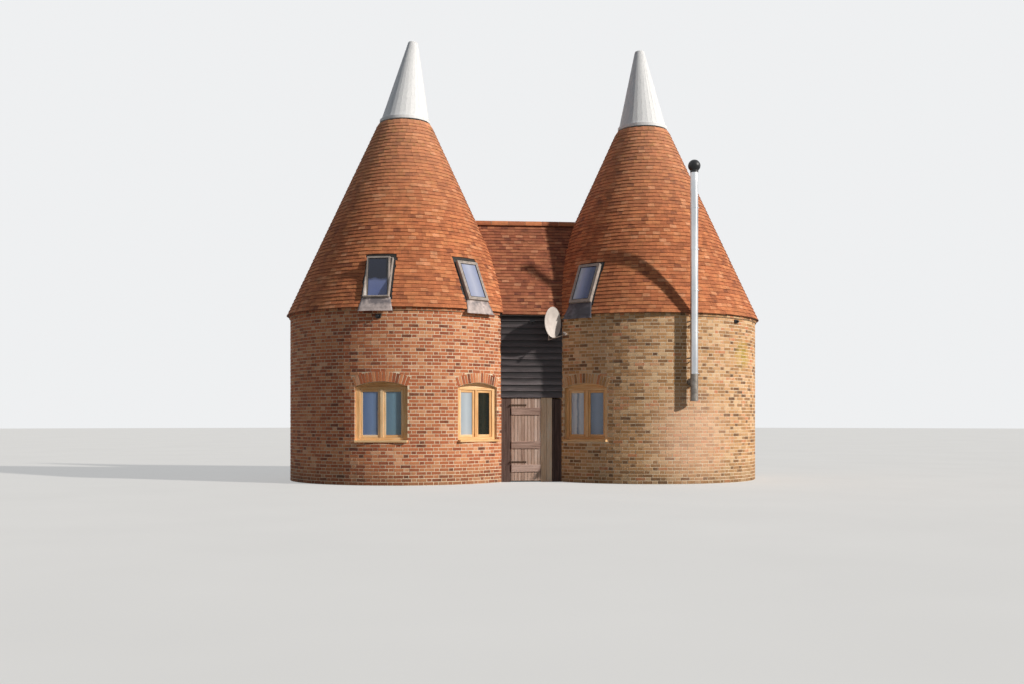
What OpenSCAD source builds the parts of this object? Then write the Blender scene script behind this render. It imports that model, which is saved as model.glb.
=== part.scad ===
// Twin-kiln oast house: two round brick kilns with tiled cones and turning cowls,
// joined by a narrow boarded link with a plank gate. Millimetres, +Z up.
// The front faces -Y. The origin is on the ground, midway between the kilns.
// Bearings on a kiln are measured from its front, towards +X.

/* [Kilns] */
// Clear distance between the two kilns' walls where they come closest
kiln_gap = 420; // [180:10:840]
// Outer radius of a kiln's wall
kiln_r = 2780; // [2600:10:2840]
// Thickness of a kiln's wall, one and a half bricks
wall_t = 340; // [220:5:440]
// Height of the left kiln's eaves
left_eaves_z = 3990; // [3700:10:4400]
// Height of the right kiln's eaves
right_eaves_z = 3920; // [3700:10:4400]
// Height of the projecting brick course under the eaves
course_h = 75; // [60:5:90]
// How far that course stands out from the wall
course_out = 30; // [10:5:50]
// Thickness of the ground floor slab
slab_t = 100; // [60:10:200]
// Height of the upper floors' walking surface
upper_floor_z = 2750; // [2600:10:2900]
// Thickness of the upper floors
upper_floor_t = 200; // [120:10:240]

/* [Cones] */
// How far the tiles hang over the kiln's wall
roof_overhang = 70; // [50:5:120]
// Height of the left cone's top
left_cone_top_z = 8760; // [8200:10:9200]
// Height of the right cone's top
right_cone_top_z = 8720; // [8200:10:9200]
// Outer radius of a cone's top
cone_top_r = 640; // [600:10:700]
// Thickness of tiles, battens and rafters together
roof_t = 150; // [100:5:180]

/* [Cowls] */
// Height of a cowl
cowl_h = 2130; // [1800:10:2400]
// Outer radius of a cowl at its foot
cowl_r = 605; // [590:5:650]
// Outer radius of a cowl at its tip
cowl_tip_r = 120; // [80:5:160]
// Lean of a cowl's axis away from the wind
cowl_lean = 8.5; // [4:0.5:10]
// Thickness of a cowl's boards
cowl_board = 28; // [18:1:40]
// Gap under a cowl's rim
cowl_gap = 40; // [20:5:60]
// Width and height of the arms that join a cowl to its post
cowl_arm = 60; // [40:5:80]
// Gap between a cowl's lower arms and the curb below them
arm_gap = 10; // [5:1:30]
// Height of the upper arm above the cowl's foot
upper_arm_z = 1090; // [700:10:1200]
// Height of a cowl's rim
rim_h = 70; // [50:5:100]
// Height of the open side of a cowl above its foot
vent_h = 1350; // [1000:10:1500]
// Angle round a cowl's axis that its open side takes
vent_angle = 104; // [80:1:120]
// Bearing to which the left cowl's open side is turned
left_cowl_turn = 143; // [0:1:359]
// Bearing to which the right cowl's open side is turned
right_cowl_turn = 181; // [0:1:359]
// Radius of a cowl's post
post_r = 45; // [35:1:60]
// Length of the post below the cone's top
post_drop = 1300; // [900:10:1600]
// Width and height of the beams that carry a post
bearer_w = 150; // [120:10:180]
// Height of the timber curb on a cone's top
curb_h = 90; // [60:5:110]
// Outer radius of that curb
curb_r = 545; // [520:5:550]

/* [Windows] */
// Width of a window opening
win_w = 1200; // [1000:10:1300]
// Height of the sill's underside
win_sill_z = 960; // [800:10:1100]
// Height at which the arch springs
win_spring_z = 2210; // [2000:10:2280]
// Rise of the arch
arch_rise = 110; // [80:5:180]
// Height of the arch ring, one brick
arch_ring = 225; // [100:5:230]
// Height of the oak sill
sill_h = 50; // [30:5:80]
// How far the sill stands out from the wall
sill_out = 20; // [5:5:60]
// Depth from the wall's edge beside a window back to the oak
reveal_d = 60; // [20:5:80]
// Depth of the oak frame
frame_d = 100; // [70:5:120]
// Width of the frame's jambs
jamb_w = 105; // [60:5:110]
// Width of the frame's mullion
mullion_w = 70; // [60:5:110]
// Height of the frame's head and cill
frame_head = 60; // [50:5:90]
// Width of a casement's stiles and rails
stile_w = 55; // [50:5:90]
// Depth of a casement
casement_d = 55; // [40:5:65]
// Thickness of the window glass
glass_t = 24; // [10:1:28]
// Bearing of the left kiln's middle window
left_mid_window = -10.7; // [-18:0.1:0]
// Bearing of the left kiln's window beside the link
left_link_window = 38.5; // [30:0.1:41]
// Bearing of the left kiln's rear window
left_rear_window = 169.3; // [160:0.1:175]
// Bearing of the right kiln's window beside the link
right_link_window = -41; // [-41.5:0.1:0]
// Bearing of the right kiln's rear window
right_rear_window = 221; // [176:0.1:224]

/* [Rooflights] */
// Outer width of a rooflight
light_w = 600; // [450:10:700]
// Outer length of a rooflight along the slope
light_l = 1020; // [700:10:1200]
// Height of a rooflight's middle
light_z = 4650; // [4550:10:5000]
// How far a rooflight stands proud of the tiles
light_proud = 75; // [50:5:100]
// Width of a rooflight's fixed frame
light_frame = 30; // [30:5:50]
// Width of a rooflight's sash
light_sash = 45; // [35:5:80]
// Depth of a rooflight's sash
light_sash_d = 45; // [30:5:60]
// Angle at which the vented sash stands open
light_open = 18; // [0:1:20]
// Thickness of a rooflight's pane
light_pane_t = 20; // [10:1:28]
// Thickness of the lead aprons
lead_t = 8; // [5:1:12]
// How far an apron hangs below the eaves
lead_drop_h = 90; // [20:5:110]
// How far an apron's foot is dressed out from the eaves
lead_flare = 32; // [10:1:60]
// How much further than its rooflight an apron reaches at each side, in degrees
lead_lap = 0.5; // [0.5:0.5:2]
// Bearing of the left cone's vented rooflight
left_mid_light = -12.8; // [-20:0.1:0]
// Bearing of the left cone's rooflight beside the link
left_link_light = 37.5; // [28:0.1:40]
// Bearing of the left cone's rear rooflight
left_rear_light = 167.2; // [160:0.1:190]
// Bearing of the right cone's rooflight beside the link
right_link_light = -43.5; // [-44:0.1:0]
// Bearing of the right cone's rear rooflight
right_rear_light = 223.5; // [180:0.1:224]

/* [Link] */
// Distance of the link's wall faces from the line of kiln centres
link_half = 1600; // [1300:10:1900]
// Thickness of the link's boarded walls
link_wall_t = 150; // [100:10:200]
// How far the link's roof hangs over its walls
link_overhang = 110; // [60:10:160]
// Height of the link's eaves
link_eaves_z = 3905; // [3780:5:4000]
// Height of the link's ridge
link_ridge_z = 6380; // [5800:10:6800]
// Thickness of the link's roof
link_roof_t = 120; // [80:5:160]
// Edge thickness of the link's tiles at the eaves
tile_edge = 40; // [20:5:60]
// Radius of the ridge tiles
ridge_r = 115; // [90:5:140]
// Thickness of the ridge tiles
ridge_t = 18; // [12:1:24]
// How far the middle of the ridge tiles' round lies below the ridge
ridge_sunk = 70; // [50:5:80]
// Width of the inner doorways into the kilns
inner_door_w = 760; // [600:10:800]
// Height of the inner doorways' heads
inner_door_z = 2050; // [1900:10:2200]
// Bearing of the inner doorways, from the front of each kiln
inner_door_at = 74; // [72:1:80]

/* [Gate] */
// Height of the gate's head
gate_h = 1990; // [1800:10:2100]
// Left edge of the gate's leaf
gate_x0 = -485; // [-520:1:-450]
// Right edge of the gate's leaf
gate_x1 = 220; // [150:1:260]
// Gap under the leaf
gate_gap = 30; // [15:5:60]
// Thickness of the planks
plank_t = 28; // [18:1:35]
// Running gap at the leaf's edges
leaf_gap = 6; // [5:1:10]
// Width of a gate post
gate_post_w = 90; // [70:5:120]
// Depth of a gate post
gate_post_d = 100; // [70:5:120]
// Height of the beam over the gate
gate_head = 100; // [70:5:140]
// Height of a ledge on the leaf
ledge_h = 170; // [100:10:200]
// Thickness of a ledge
ledge_t = 22; // [15:1:30]
// Underside of the leaf's lowest ledge
ledge_low_z = 240; // [150:10:260]
// Underside of the leaf's middle ledge
ledge_mid_z = 790; // [700:10:1000]
// Underside of the leaf's top ledge
ledge_top_z = 1580; // [1400:10:1600]
// Underside of the lower strap hinge
strap_low_z = 450; // [445:5:600]
// Underside of the upper strap hinge
strap_top_z = 1790; // [1785:5:1820]
// Height of a strap
strap_h = 40; // [30:5:60]
// Length of a strap
strap_len = 360; // [200:10:450]
// Thickness of a strap
strap_t = 8; // [5:1:12]
// Radius of a hinge pin
pin_r = 7; // [5:0.5:9]
// Thickness of the iron around a pin
eye_t = 7; // [4:0.5:9]
// Length of the hook that carries a pin
hook_l = 60; // [40:5:80]
// Thickness of that hook
hook_t = 10; // [6:1:14]

/* [Flue] */
// Bearing of the flue on the right kiln
flue_at = 11.2; // [4:0.1:14]
// Distance of the flue's axis from the wall
flue_off = 200; // [150:5:260]
// Radius of the flue pipe
flue_r = 88; // [60:1:100]
// Height of the flue's foot
flue_foot_z = 1890; // [1600:10:2100]
// Height of the branch into the kiln
flue_tee_z = 2330; // [2200:10:2600]
// Height of the pipe's top
flue_top_z = 7100; // [6500:10:7600]
// Length of one section of the pipe
flue_section = 940; // [600:10:1200]
// Thickness of the bands at the pipe's joints
flue_band_t = 5; // [2:1:10]
// Height of those bands
flue_band_h = 28; // [15:1:50]
// Radius of the ball on top
flue_ball_r = 140; // [110:5:180]
// Height of the lower wall bracket
bracket_low_z = 2850; // [2600:10:3000]
// Height of the upper wall bracket
bracket_top_z = 3680; // [3500:10:3720]
// Thickness of a wall bracket
bracket_t = 30; // [20:1:40]

/* [Dish and lamps] */
// Place of the dish's middle along X
dish_x = 456; // [400:1:480]
// How far the dish's middle stands out from the link's front wall
dish_out = 370; // [365:1:500]
// Height of the dish's middle
dish_z = 3730; // [3500:1:3750]
// Radius of the dish, across
dish_r = 325; // [280:5:340]
// Angle at which the dish looks up, which makes its outline oval
dish_look_up = 24; // [15:1:30]
// Radius of the dish's curvature
dish_curve = 980; // [800:10:1400]
// Bearing that the dish faces
dish_facing = 48; // [40:1:60]
// Thickness of the dish
dish_t = 6; // [4:1:10]
// Distance of the mast behind the dish's rim
mast_off = 110; // [90:5:140]
// Radius of the mast and of the arm that holds it
mast_r = 17; // [12:1:25]
// Depth below the dish's middle at which the wall arm meets the mast
wall_arm_down = 140; // [100:5:250]
// Width of the dish's wall plate
wall_plate_w = 120; // [80:5:160]
// Thickness of the wall plate
wall_plate_t = 8; // [5:1:12]
// Radius of the feed arm
feed_arm_r = 10; // [7:0.5:14]
// How far the feed head stands in front of the dish's rim
feed_reach = 380; // [300:5:450]
// Depth of the feed head below the dish's middle
feed_down = 290; // [250:5:320]
// Radius of the feed head
feed_r = 28; // [20:1:40]
// Length of the feed head
feed_l = 90; // [60:5:130]
// Width of a wall lamp
lamp_w = 130; // [80:5:200]
// Depth of a wall lamp
lamp_d = 90; // [50:5:140]
// Height of a wall lamp
lamp_h = 90; // [60:5:120]
// Bearing of the left kiln's lamp
left_lamp_at = -11.7; // [-30:0.1:20]
// Bearing of the right kiln's lamp
right_lamp_at = 39.5; // [20:0.1:60]
// Height of the lamps' undersides
lamp_z = 3730; // [3600:10:3750]
// Place of the link's lamp along its wall
link_lamp_x = 20; // [-200:10:60]

/* [Hidden] */
$fn = 256;

// Running clearance between pieces that seat on each other
seat = 0.3;
// Cutters run past the faces that they cut by this much
over = 50;

LEFT = -1;
RIGHT = 1;
kiln_spacing = 2 * kiln_r + kiln_gap;
inner_r = kiln_r - wall_t;
eaves_r = kiln_r + roof_overhang;
left_windows_at = [left_mid_window, left_link_window, left_rear_window];
right_windows_at = [right_link_window, right_rear_window];
left_lights_at = [left_mid_light, left_link_light, left_rear_light];
right_lights_at = [right_link_light, right_rear_light];
ledges_at = [ledge_low_z, ledge_mid_z, ledge_top_z];
straps_at = [strap_low_z, strap_top_z];
flue_brackets_at = [bracket_low_z, bracket_top_z];

function kiln_x(side) = side * kiln_spacing / 2;
function eaves_z(side) = side == LEFT ? left_eaves_z : right_eaves_z;
function wall_top_z(side) = eaves_z(side) - course_h;
function cone_top_z(side) = side == LEFT ? left_cone_top_z : right_cone_top_z;
function cone_run(side) = (eaves_r - cone_top_r) / (cone_top_z(side) - eaves_z(side));
function cone_slope(side) = atan2(1, cone_run(side));
function cone_r_at(side, z) = eaves_r - (z - eaves_z(side)) * cone_run(side);
function roof_across(side) = roof_t / sin(cone_slope(side));
function cowl_turn(side) = side == LEFT ? left_cowl_turn : right_cowl_turn;
function cowl_foot_z(side) = cone_top_z(side) + cowl_gap;

// Bearings at which a kiln's wall is split, kept clear of its openings
link_from = 58;
link_to = 122;
side_from = 36;
side_to = 144;

// Pieces placed on a kiln: local -Y points outwards at the bearing
module on_kiln(side, bearing = 0) {
    translate([kiln_x(side), 0, 0]) rotate([0, 0, bearing]) children();
}

// Pieces placed on a cone: local X is level, Y runs up the slope, Z points outwards
module on_cone(side, bearing, z) {
    on_kiln(side, bearing)
        translate([0, -cone_r_at(side, z), z])
            rotate([cone_slope(side), 0, 0]) children();
}

// Part of a ring between two bearings, from a profile drawn in radius and height
module swept(from, to) {
    rotate([0, 0, from - 90]) rotate_extrude(angle = to - from) children();
}

module wall_profile(top_z) {
    translate([inner_r, 0]) square([wall_t, top_z]);
}

// Windows
arch_r = (win_w * win_w / 4 + arch_rise * arch_rise) / (2 * arch_rise);
arch_z = win_spring_z + arch_rise - arch_r;
arch_half = asin(win_w / 2 / arch_r);
jamb_y = -sqrt(kiln_r * kiln_r - win_w * win_w / 4);
frame_y = jamb_y + reveal_d;
frame_z = win_sill_z + sill_h;
wall_cut = wall_t + 2 * over;

module radial_bar(r, z) {
    translate([0, -inner_r + over, z]) rotate([90, 0, 0]) cylinder(r = r, h = wall_cut);
}

module window_opening() {
    intersection() {
        radial_bar(arch_r, arch_z);
        translate([-win_w / 2, -inner_r + over - wall_cut, win_sill_z])
            cube([win_w, wall_cut, win_spring_z + arch_rise - win_sill_z + over]);
    }
}

module arch_wedge() {
    reach = (arch_r + arch_ring + over) / cos(arch_half);
    translate([0, -inner_r + over, arch_z]) rotate([90, 0, 0]) linear_extrude(wall_cut)
        polygon([
            [0, 0],
            [reach * sin(arch_half), reach * cos(arch_half)],
            [-reach * sin(arch_half), reach * cos(arch_half)]
        ]);
}

module arch_ring_bar() {
    intersection() {
        difference() {
            radial_bar(arch_r + arch_ring, arch_z);
            radial_bar(arch_r, arch_z);
        }
        arch_wedge();
    }
}

module window_cut() {
    window_opening();
    arch_ring_bar();
}

// Neighbouring parts of a wall stand a seat's width apart
seat_turn = asin(seat / 2 / kiln_r);

module kiln_wall(side, from, to) {
    on_kiln(side) swept(from + seat_turn, to - seat_turn) wall_profile(wall_top_z(side));
}

module arch(side) {
    intersection() {
        arch_ring_bar();
        swept(-link_from, link_from) wall_profile(wall_top_z(side));
    }
}

module inner_doorway(side) {
    on_kiln(side, -side * inner_door_at)
        translate([-inner_door_w / 2, -inner_r + over - wall_cut, slab_t])
            cube([inner_door_w, wall_cut, inner_door_z - slab_t]);
}

module left_wall_front() {
    color("#b5653f") difference() {
        kiln_wall(LEFT, -side_from, link_from);
        on_kiln(LEFT, left_mid_window) window_cut();
        on_kiln(LEFT, left_link_window) window_cut();
    }
}

module left_wall_side() {
    color("#b5653f") kiln_wall(LEFT, -side_to, -side_from);
}

module left_wall_rear() {
    color("#b5653f") difference() {
        kiln_wall(LEFT, link_to, 360 - side_to);
        on_kiln(LEFT, left_rear_window) window_cut();
    }
}

module left_wall_link() {
    color("#b5653f") difference() {
        kiln_wall(LEFT, link_from, link_to);
        inner_doorway(LEFT);
    }
}

module right_wall_front() {
    color("#b08a5c") difference() {
        kiln_wall(RIGHT, -link_from, side_from);
        on_kiln(RIGHT, right_link_window) window_cut();
    }
}

module right_wall_side() {
    color("#b08a5c") kiln_wall(RIGHT, side_from, side_to);
}

module right_wall_rear() {
    color("#b08a5c") difference() {
        kiln_wall(RIGHT, side_to, 360 - link_to);
        on_kiln(RIGHT, right_rear_window) window_cut();
    }
}

module right_wall_link() {
    color("#b08a5c") difference() {
        kiln_wall(RIGHT, 360 - link_to, 360 - link_from);
        inner_doorway(RIGHT);
    }
}

module left_arches() {
    color("#c0714a") for (a = left_windows_at) on_kiln(LEFT, a) arch(LEFT);
}

module right_arches() {
    color("#a97b4c") for (a = right_windows_at) on_kiln(RIGHT, a) arch(RIGHT);
}

module eaves_courses() {
    color("#a8643f") for (side = [LEFT, RIGHT])
        on_kiln(side) translate([0, 0, wall_top_z(side)]) rotate_extrude()
            translate([inner_r, seat]) square([wall_t + course_out, course_h - seat]);
}

// Floors
module between_kilns(half_y, z0, z1) {
    difference() {
        translate([-kiln_spacing / 2, -half_y, z0])
            cube([kiln_spacing, 2 * half_y, z1 - z0]);
        for (side = [LEFT, RIGHT])
            on_kiln(side) translate([0, 0, z0 - over])
                cylinder(r = kiln_r + seat, h = z1 - z0 + 2 * over);
    }
}

link_room = link_half - link_wall_t;

module ground_floor() {
    color("#9a958c") {
        for (side = [LEFT, RIGHT]) on_kiln(side) cylinder(r = inner_r - seat, h = slab_t);
        between_kilns(link_room, 0, slab_t);
    }
}

module upper_floors() {
    color("#a9825a") {
        for (side = [LEFT, RIGHT])
            on_kiln(side) translate([0, 0, upper_floor_z - upper_floor_t])
                cylinder(r = inner_r - seat, h = upper_floor_t);
        between_kilns(link_room, upper_floor_z - upper_floor_t, upper_floor_z);
    }
}

// Oak window frames, casements and glass
light_clear_w = (win_w - 2 * jamb_w - mullion_w) / 2;
light_clear_z0 = frame_z + frame_head;
light_clear_h = win_spring_z - frame_head - light_clear_z0;
casement_y = frame_y + (frame_d - casement_d) / 2;
tympanum_t = frame_d / 2;

module window_frame() {
    difference() {
        translate([-win_w / 2, frame_y, frame_z])
            cube([win_w, frame_d, win_spring_z - frame_z]);
        for (s = [-1, 1])
            translate([
                s * (mullion_w + light_clear_w) / 2 - light_clear_w / 2,
                frame_y - over,
                light_clear_z0
            ])
                cube([light_clear_w, frame_d + 2 * over, light_clear_h]);
    }
    // The board that closes the arch above the frame's head
    intersection() {
        radial_bar(arch_r - seat, arch_z);
        translate([-win_w / 2, frame_y + (frame_d - tympanum_t) / 2, win_spring_z])
            cube([win_w, tympanum_t, arch_rise]);
    }
    // The sill runs out to the face of the wall
    translate([-win_w / 2, -kiln_r - sill_out, win_sill_z])
        cube([win_w, kiln_r + sill_out + frame_y + frame_d, sill_h]);
}

module casement_pair() {
    for (s = [-1, 1])
        translate([s * (mullion_w + light_clear_w) / 2, casement_y, light_clear_z0]) difference() {
            translate([-light_clear_w / 2 + seat, 0, seat])
                cube([light_clear_w - 2 * seat, casement_d, light_clear_h - 2 * seat]);
            translate([-light_clear_w / 2 + stile_w, -over, stile_w])
                cube([
                    light_clear_w - 2 * stile_w,
                    casement_d + 2 * over,
                    light_clear_h - 2 * stile_w
                ]);
        }
}

module window_panes() {
    for (s = [-1, 1])
        translate([
            s * (mullion_w + light_clear_w) / 2 - light_clear_w / 2 + stile_w + seat,
            casement_y + (casement_d - glass_t) / 2,
            light_clear_z0 + stile_w + seat
        ])
            cube([
                light_clear_w - 2 * stile_w - 2 * seat,
                glass_t,
                light_clear_h - 2 * stile_w - 2 * seat
            ]);
}

module at_windows() {
    for (a = left_windows_at) on_kiln(LEFT, a) children();
    for (a = right_windows_at) on_kiln(RIGHT, a) children();
}

module window_frames() {
    color("#b07a3a") at_windows() window_frame();
}

module casements() {
    color("#b8833f") at_windows() casement_pair();
}

module window_glass() {
    color("#9fb6c9", 0.6) at_windows() window_panes();
}

// Cones
module cone_profile(side) {
    across = roof_across(side);
    polygon([
        [eaves_r - across, eaves_z(side)],
        [eaves_r, eaves_z(side)],
        [cone_top_r, cone_top_z(side)],
        [cone_top_r - across, cone_top_z(side)]
    ]);
}

module light_box(grow = 0) {
    translate([-light_w / 2 - grow, -light_l / 2 - grow, -roof_t - over])
        cube([light_w + 2 * grow, light_l + 2 * grow, roof_t + 3 * over]);
}

module cone_half(side, from, to, lights) {
    difference() {
        on_kiln(side) swept(from, to) cone_profile(side);
        for (a = lights) on_cone(side, a, light_z) light_box();
    }
}

module left_cone_front() {
    color("#9c5536") cone_half(LEFT, -90, 90, [left_mid_light, left_link_light]);
}

module left_cone_rear() {
    color("#9c5536") cone_half(LEFT, 90, 270, [left_rear_light]);
}

module right_cone_front() {
    color("#96573a") cone_half(RIGHT, -90, 90, [right_link_light]);
}

module right_cone_rear() {
    color("#96573a") cone_half(RIGHT, 90, 270, [right_rear_light]);
}

// The solid that a cone's outer face bounds, with the wall below it
module kiln_outside(side) {
    on_kiln(side) {
        translate([0, 0, -over]) cylinder(r = kiln_r + seat, h = eaves_z(side) + 2 * over);
        translate([0, 0, eaves_z(side)])
            cylinder(
                r1 = eaves_r + seat,
                r2 = cone_top_r + seat,
                h = cone_top_z(side) - eaves_z(side)
            );
        translate([0, 0, wall_top_z(side)])
            cylinder(r = kiln_r + course_out + seat, h = course_h);
    }
}

// The space inside a cone, less a hair, to which beams are cut
module cone_inside(side) {
    across = roof_across(side) + seat;
    on_kiln(side) translate([0, 0, eaves_z(side)])
        cylinder(
            r1 = eaves_r - across,
            r2 = cone_top_r - across,
            h = cone_top_z(side) - eaves_z(side)
        );
}

module cone_curbs() {
    color("#4a4440") for (side = [LEFT, RIGHT])
        on_kiln(side) translate([0, 0, cone_top_z(side)]) difference() {
            cylinder(r = curb_r, h = curb_h);
            translate([0, 0, -over])
                cylinder(r = cone_top_r - roof_across(side), h = curb_h + 2 * over);
        }
}

function post_foot_z(side) = cone_top_z(side) - post_drop;

module bearers(side) {
    intersection() {
        cone_inside(side);
        on_kiln(side) difference() {
            for (z = [post_foot_z(side) - bearer_w / 2, cone_top_z(side) - bearer_w - over])
                translate([-kiln_r, -bearer_w / 2, z]) cube([2 * kiln_r, bearer_w, bearer_w]);
            translate([0, 0, post_foot_z(side)])
                cylinder(r = post_r + seat, h = post_drop + over);
        }
    }
}

module cowl_bearers() {
    color("#7a6048") for (side = [LEFT, RIGHT]) bearers(side);
}

// Cowls: the leaning cone's foot is cut level, so its axis is set over by foot_shift
cowl_taper = (cowl_r - cowl_tip_r) / cowl_h;
foot_shift = cowl_r * cowl_taper * sin(cowl_lean);

module along_axis() {
    translate([0, foot_shift, 0]) rotate([-cowl_lean, 0, 0]) children();
}

module leaning_cone(shrink, top) {
    start = 2 * rim_h;
    along_axis() translate([0, 0, -start])
        cylinder(
            r1 = cowl_r - shrink + cowl_taper * start,
            r2 = cowl_r - shrink - cowl_taper * top,
            h = top + start
        );
}

// What is cut away for the open side: a wedge about the axis, between two levels
module open_side() {
    reach_x = cowl_h * sin(vent_angle / 2);
    reach_y = cowl_h * cos(vent_angle / 2);
    intersection() {
        along_axis() translate([0, 0, -cowl_r]) linear_extrude(cowl_h + cowl_r)
            polygon([[0, 0], [reach_x, reach_y], [-reach_x, reach_y]]);
        translate([-cowl_h, -cowl_h, rim_h]) cube([2 * cowl_h, 2 * cowl_h, vent_h - rim_h]);
    }
}

module cowl_shell() {
    difference() {
        union() {
            leaning_cone(0, cowl_h);
            cylinder(r = cowl_r + cowl_board / 2, h = rim_h);
        }
        leaning_cone(cowl_board, cowl_h - 2 * cowl_board);
        translate([-cowl_h, -cowl_h, -cowl_h]) cube([2 * cowl_h, 2 * cowl_h, cowl_h]);
        open_side();
    }
}

// Turns a cowl's open side, which is drawn towards +Y, to its bearing
module at_cowl(side) {
    on_kiln(side, cowl_turn(side) - 180) translate([0, 0, cowl_foot_z(side)]) children();
}

module left_cowl() {
    color("white") at_cowl(LEFT) cowl_shell();
}

module right_cowl() {
    color("white") at_cowl(RIGHT) cowl_shell();
}

// The lower arms turn clear above the curb
lower_arm_z = curb_h - cowl_gap + arm_gap;

module cowl_post(side) {
    foot = post_foot_z(side) - cowl_foot_z(side) + seat;
    at_cowl(side) {
        translate([0, 0, foot]) cylinder(r = post_r, h = upper_arm_z + cowl_arm - foot);
        intersection() {
            leaning_cone(cowl_board + seat, cowl_h - 3 * cowl_board);
            union() {
                for (z = [lower_arm_z, upper_arm_z])
                    translate([-cowl_r, -cowl_arm / 2, z]) cube([2 * cowl_r, cowl_arm, cowl_arm]);
                translate([-cowl_arm / 2, -cowl_r, lower_arm_z])
                    cube([cowl_arm, cowl_r, cowl_arm]);
            }
        }
    }
}

module left_cowl_post() {
    color("#8a7a66") cowl_post(LEFT);
}

module right_cowl_post() {
    color("#8a7a66") cowl_post(RIGHT);
}

// Rooflights
module each_light() {
    for (a = left_lights_at) on_cone(LEFT, a, light_z) children();
    for (a = right_lights_at) on_cone(RIGHT, a, light_z) children();
}

sash_w = light_w - 2 * light_frame;
sash_l = light_l - 2 * light_frame;

module light_ring(w, l, band, z0, h) {
    translate([0, 0, z0]) difference() {
        translate([-w / 2, -l / 2, 0]) cube([w, l, h]);
        translate([-w / 2 + band, -l / 2 + band, -over])
            cube([w - 2 * band, l - 2 * band, h + 2 * over]);
    }
}

module rooflight_frames() {
    color("#6d7174") each_light()
        light_ring(light_w, light_l, light_frame, -roof_t, roof_t + light_proud);
}

// The sash of the vented light swings out at its lower edge about its middle
module at_sash(opened) {
    translate([0, 0, light_proud - light_sash_d / 2]) rotate([opened, 0, 0]) children();
}

module each_sash() {
    for (a = left_lights_at)
        on_cone(LEFT, a, light_z) at_sash(a == left_mid_light ? light_open : 0) children();
    for (a = right_lights_at) on_cone(RIGHT, a, light_z) at_sash(0) children();
}

module rooflight_sashes() {
    color("#7d8285") each_sash()
        light_ring(
            sash_w - 2 * seat,
            sash_l - 2 * seat,
            light_sash,
            -light_sash_d / 2,
            light_sash_d
        );
}

module rooflight_glass() {
    color("#8fa9c4", 0.6) each_sash()
        translate([
            -sash_w / 2 + light_sash + seat,
            -sash_l / 2 + light_sash + seat,
            -light_pane_t / 2
        ])
            cube([
                sash_w - 2 * light_sash - 2 * seat,
                sash_l - 2 * light_sash - 2 * seat,
                light_pane_t
            ]);
}

// A lead apron covers the tiles from the frame's foot down over the eaves
apron_half = asin(light_w / 2 / eaves_r) + lead_lap;

module apron(side, bearing) {
    top_z = light_z - light_l / 2 * sin(cone_slope(side));
    difference() {
        on_kiln(side, bearing) swept(-apron_half, apron_half) polygon([
            [cone_r_at(side, top_z) + seat, top_z],
            [eaves_r + seat, eaves_z(side)],
            [eaves_r + lead_flare, eaves_z(side) - lead_drop_h],
            [eaves_r + lead_flare + lead_t, eaves_z(side) - lead_drop_h],
            [eaves_r + lead_t + seat, eaves_z(side)],
            [cone_r_at(side, top_z) + lead_t + seat, top_z]
        ]);
        on_cone(side, bearing, light_z) light_box(seat);
    }
}

module lead_aprons() {
    color("#878b90") {
        for (a = left_lights_at) apron(LEFT, a);
        for (a = right_lights_at) apron(RIGHT, a);
    }
}

// Link between the kilns
link_reach = link_half + link_overhang;
link_pitch = atan2(link_ridge_z - link_eaves_z - tile_edge, link_reach);
link_roof_v = link_roof_t / cos(link_pitch);

function link_under_z(y) = link_ridge_z - link_roof_v - abs(y) * tan(link_pitch);

// Where the roof's underside comes down to the eaves' height
soffit_y = (link_ridge_z - link_roof_v - link_eaves_z) / tan(link_pitch);

// Extrudes a profile drawn in Y and Z along X, and cuts it to the kilns
module across_link() {
    difference() {
        rotate([90, 0, 90]) translate([0, 0, -kiln_spacing / 2])
            linear_extrude(kiln_spacing) children();
        for (side = [LEFT, RIGHT]) kiln_outside(side);
    }
}

// Black boarded wall up to the roof: toward is -1 at the front and 1 at the rear
module link_wall(toward, foot_z) {
    across_link() polygon([
        [toward * link_half, foot_z],
        [toward * link_room, foot_z],
        [toward * link_room, link_under_z(link_room)],
        [toward * min(soffit_y, link_half), link_eaves_z],
        [toward * link_half, link_eaves_z]
    ]);
}

module link_wall_front() {
    color("#1f2021") difference() {
        link_wall(-1, gate_h);
        translate([-kiln_spacing / 2, post_y, 0])
            cube([kiln_spacing, link_half, gate_h + gate_head]);
    }
}

module link_wall_rear() {
    color("#1f2021") link_wall(1, 0);
}

module link_slope(toward) {
    across_link() polygon([
        [0, link_ridge_z],
        [toward * link_reach, link_eaves_z + tile_edge],
        [toward * link_reach, link_eaves_z],
        [toward * soffit_y, link_eaves_z],
        [0, link_ridge_z - link_roof_v]
    ]);
}

module link_roof_front() {
    color("#8f4d33") link_slope(-1);
}

module link_roof_rear() {
    color("#8f4d33") link_slope(1);
}

// Ridge tiles lie over both slopes: a thin half-round bedded on the ridge
module ridge_tiles() {
    color("#7d4630") difference() {
        across_link() translate([0, link_ridge_z - ridge_sunk]) difference() {
            circle(r = ridge_r);
            circle(r = ridge_r - ridge_t);
        }
        rotate([90, 0, 90]) translate([0, 0, -kiln_spacing])
            linear_extrude(2 * kiln_spacing) polygon([
                [0, link_ridge_z + seat],
                [link_reach, link_eaves_z + tile_edge + seat],
                [link_reach, 0],
                [-link_reach, 0],
                [-link_reach, link_eaves_z + tile_edge + seat]
            ]);
    }
}

// Gate and plank screen
plank_y = -link_half;
post_y = plank_y + plank_t;
left_jamb_x = gate_x0 - leaf_gap;
right_jamb_x = gate_x1 + leaf_gap;

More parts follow.
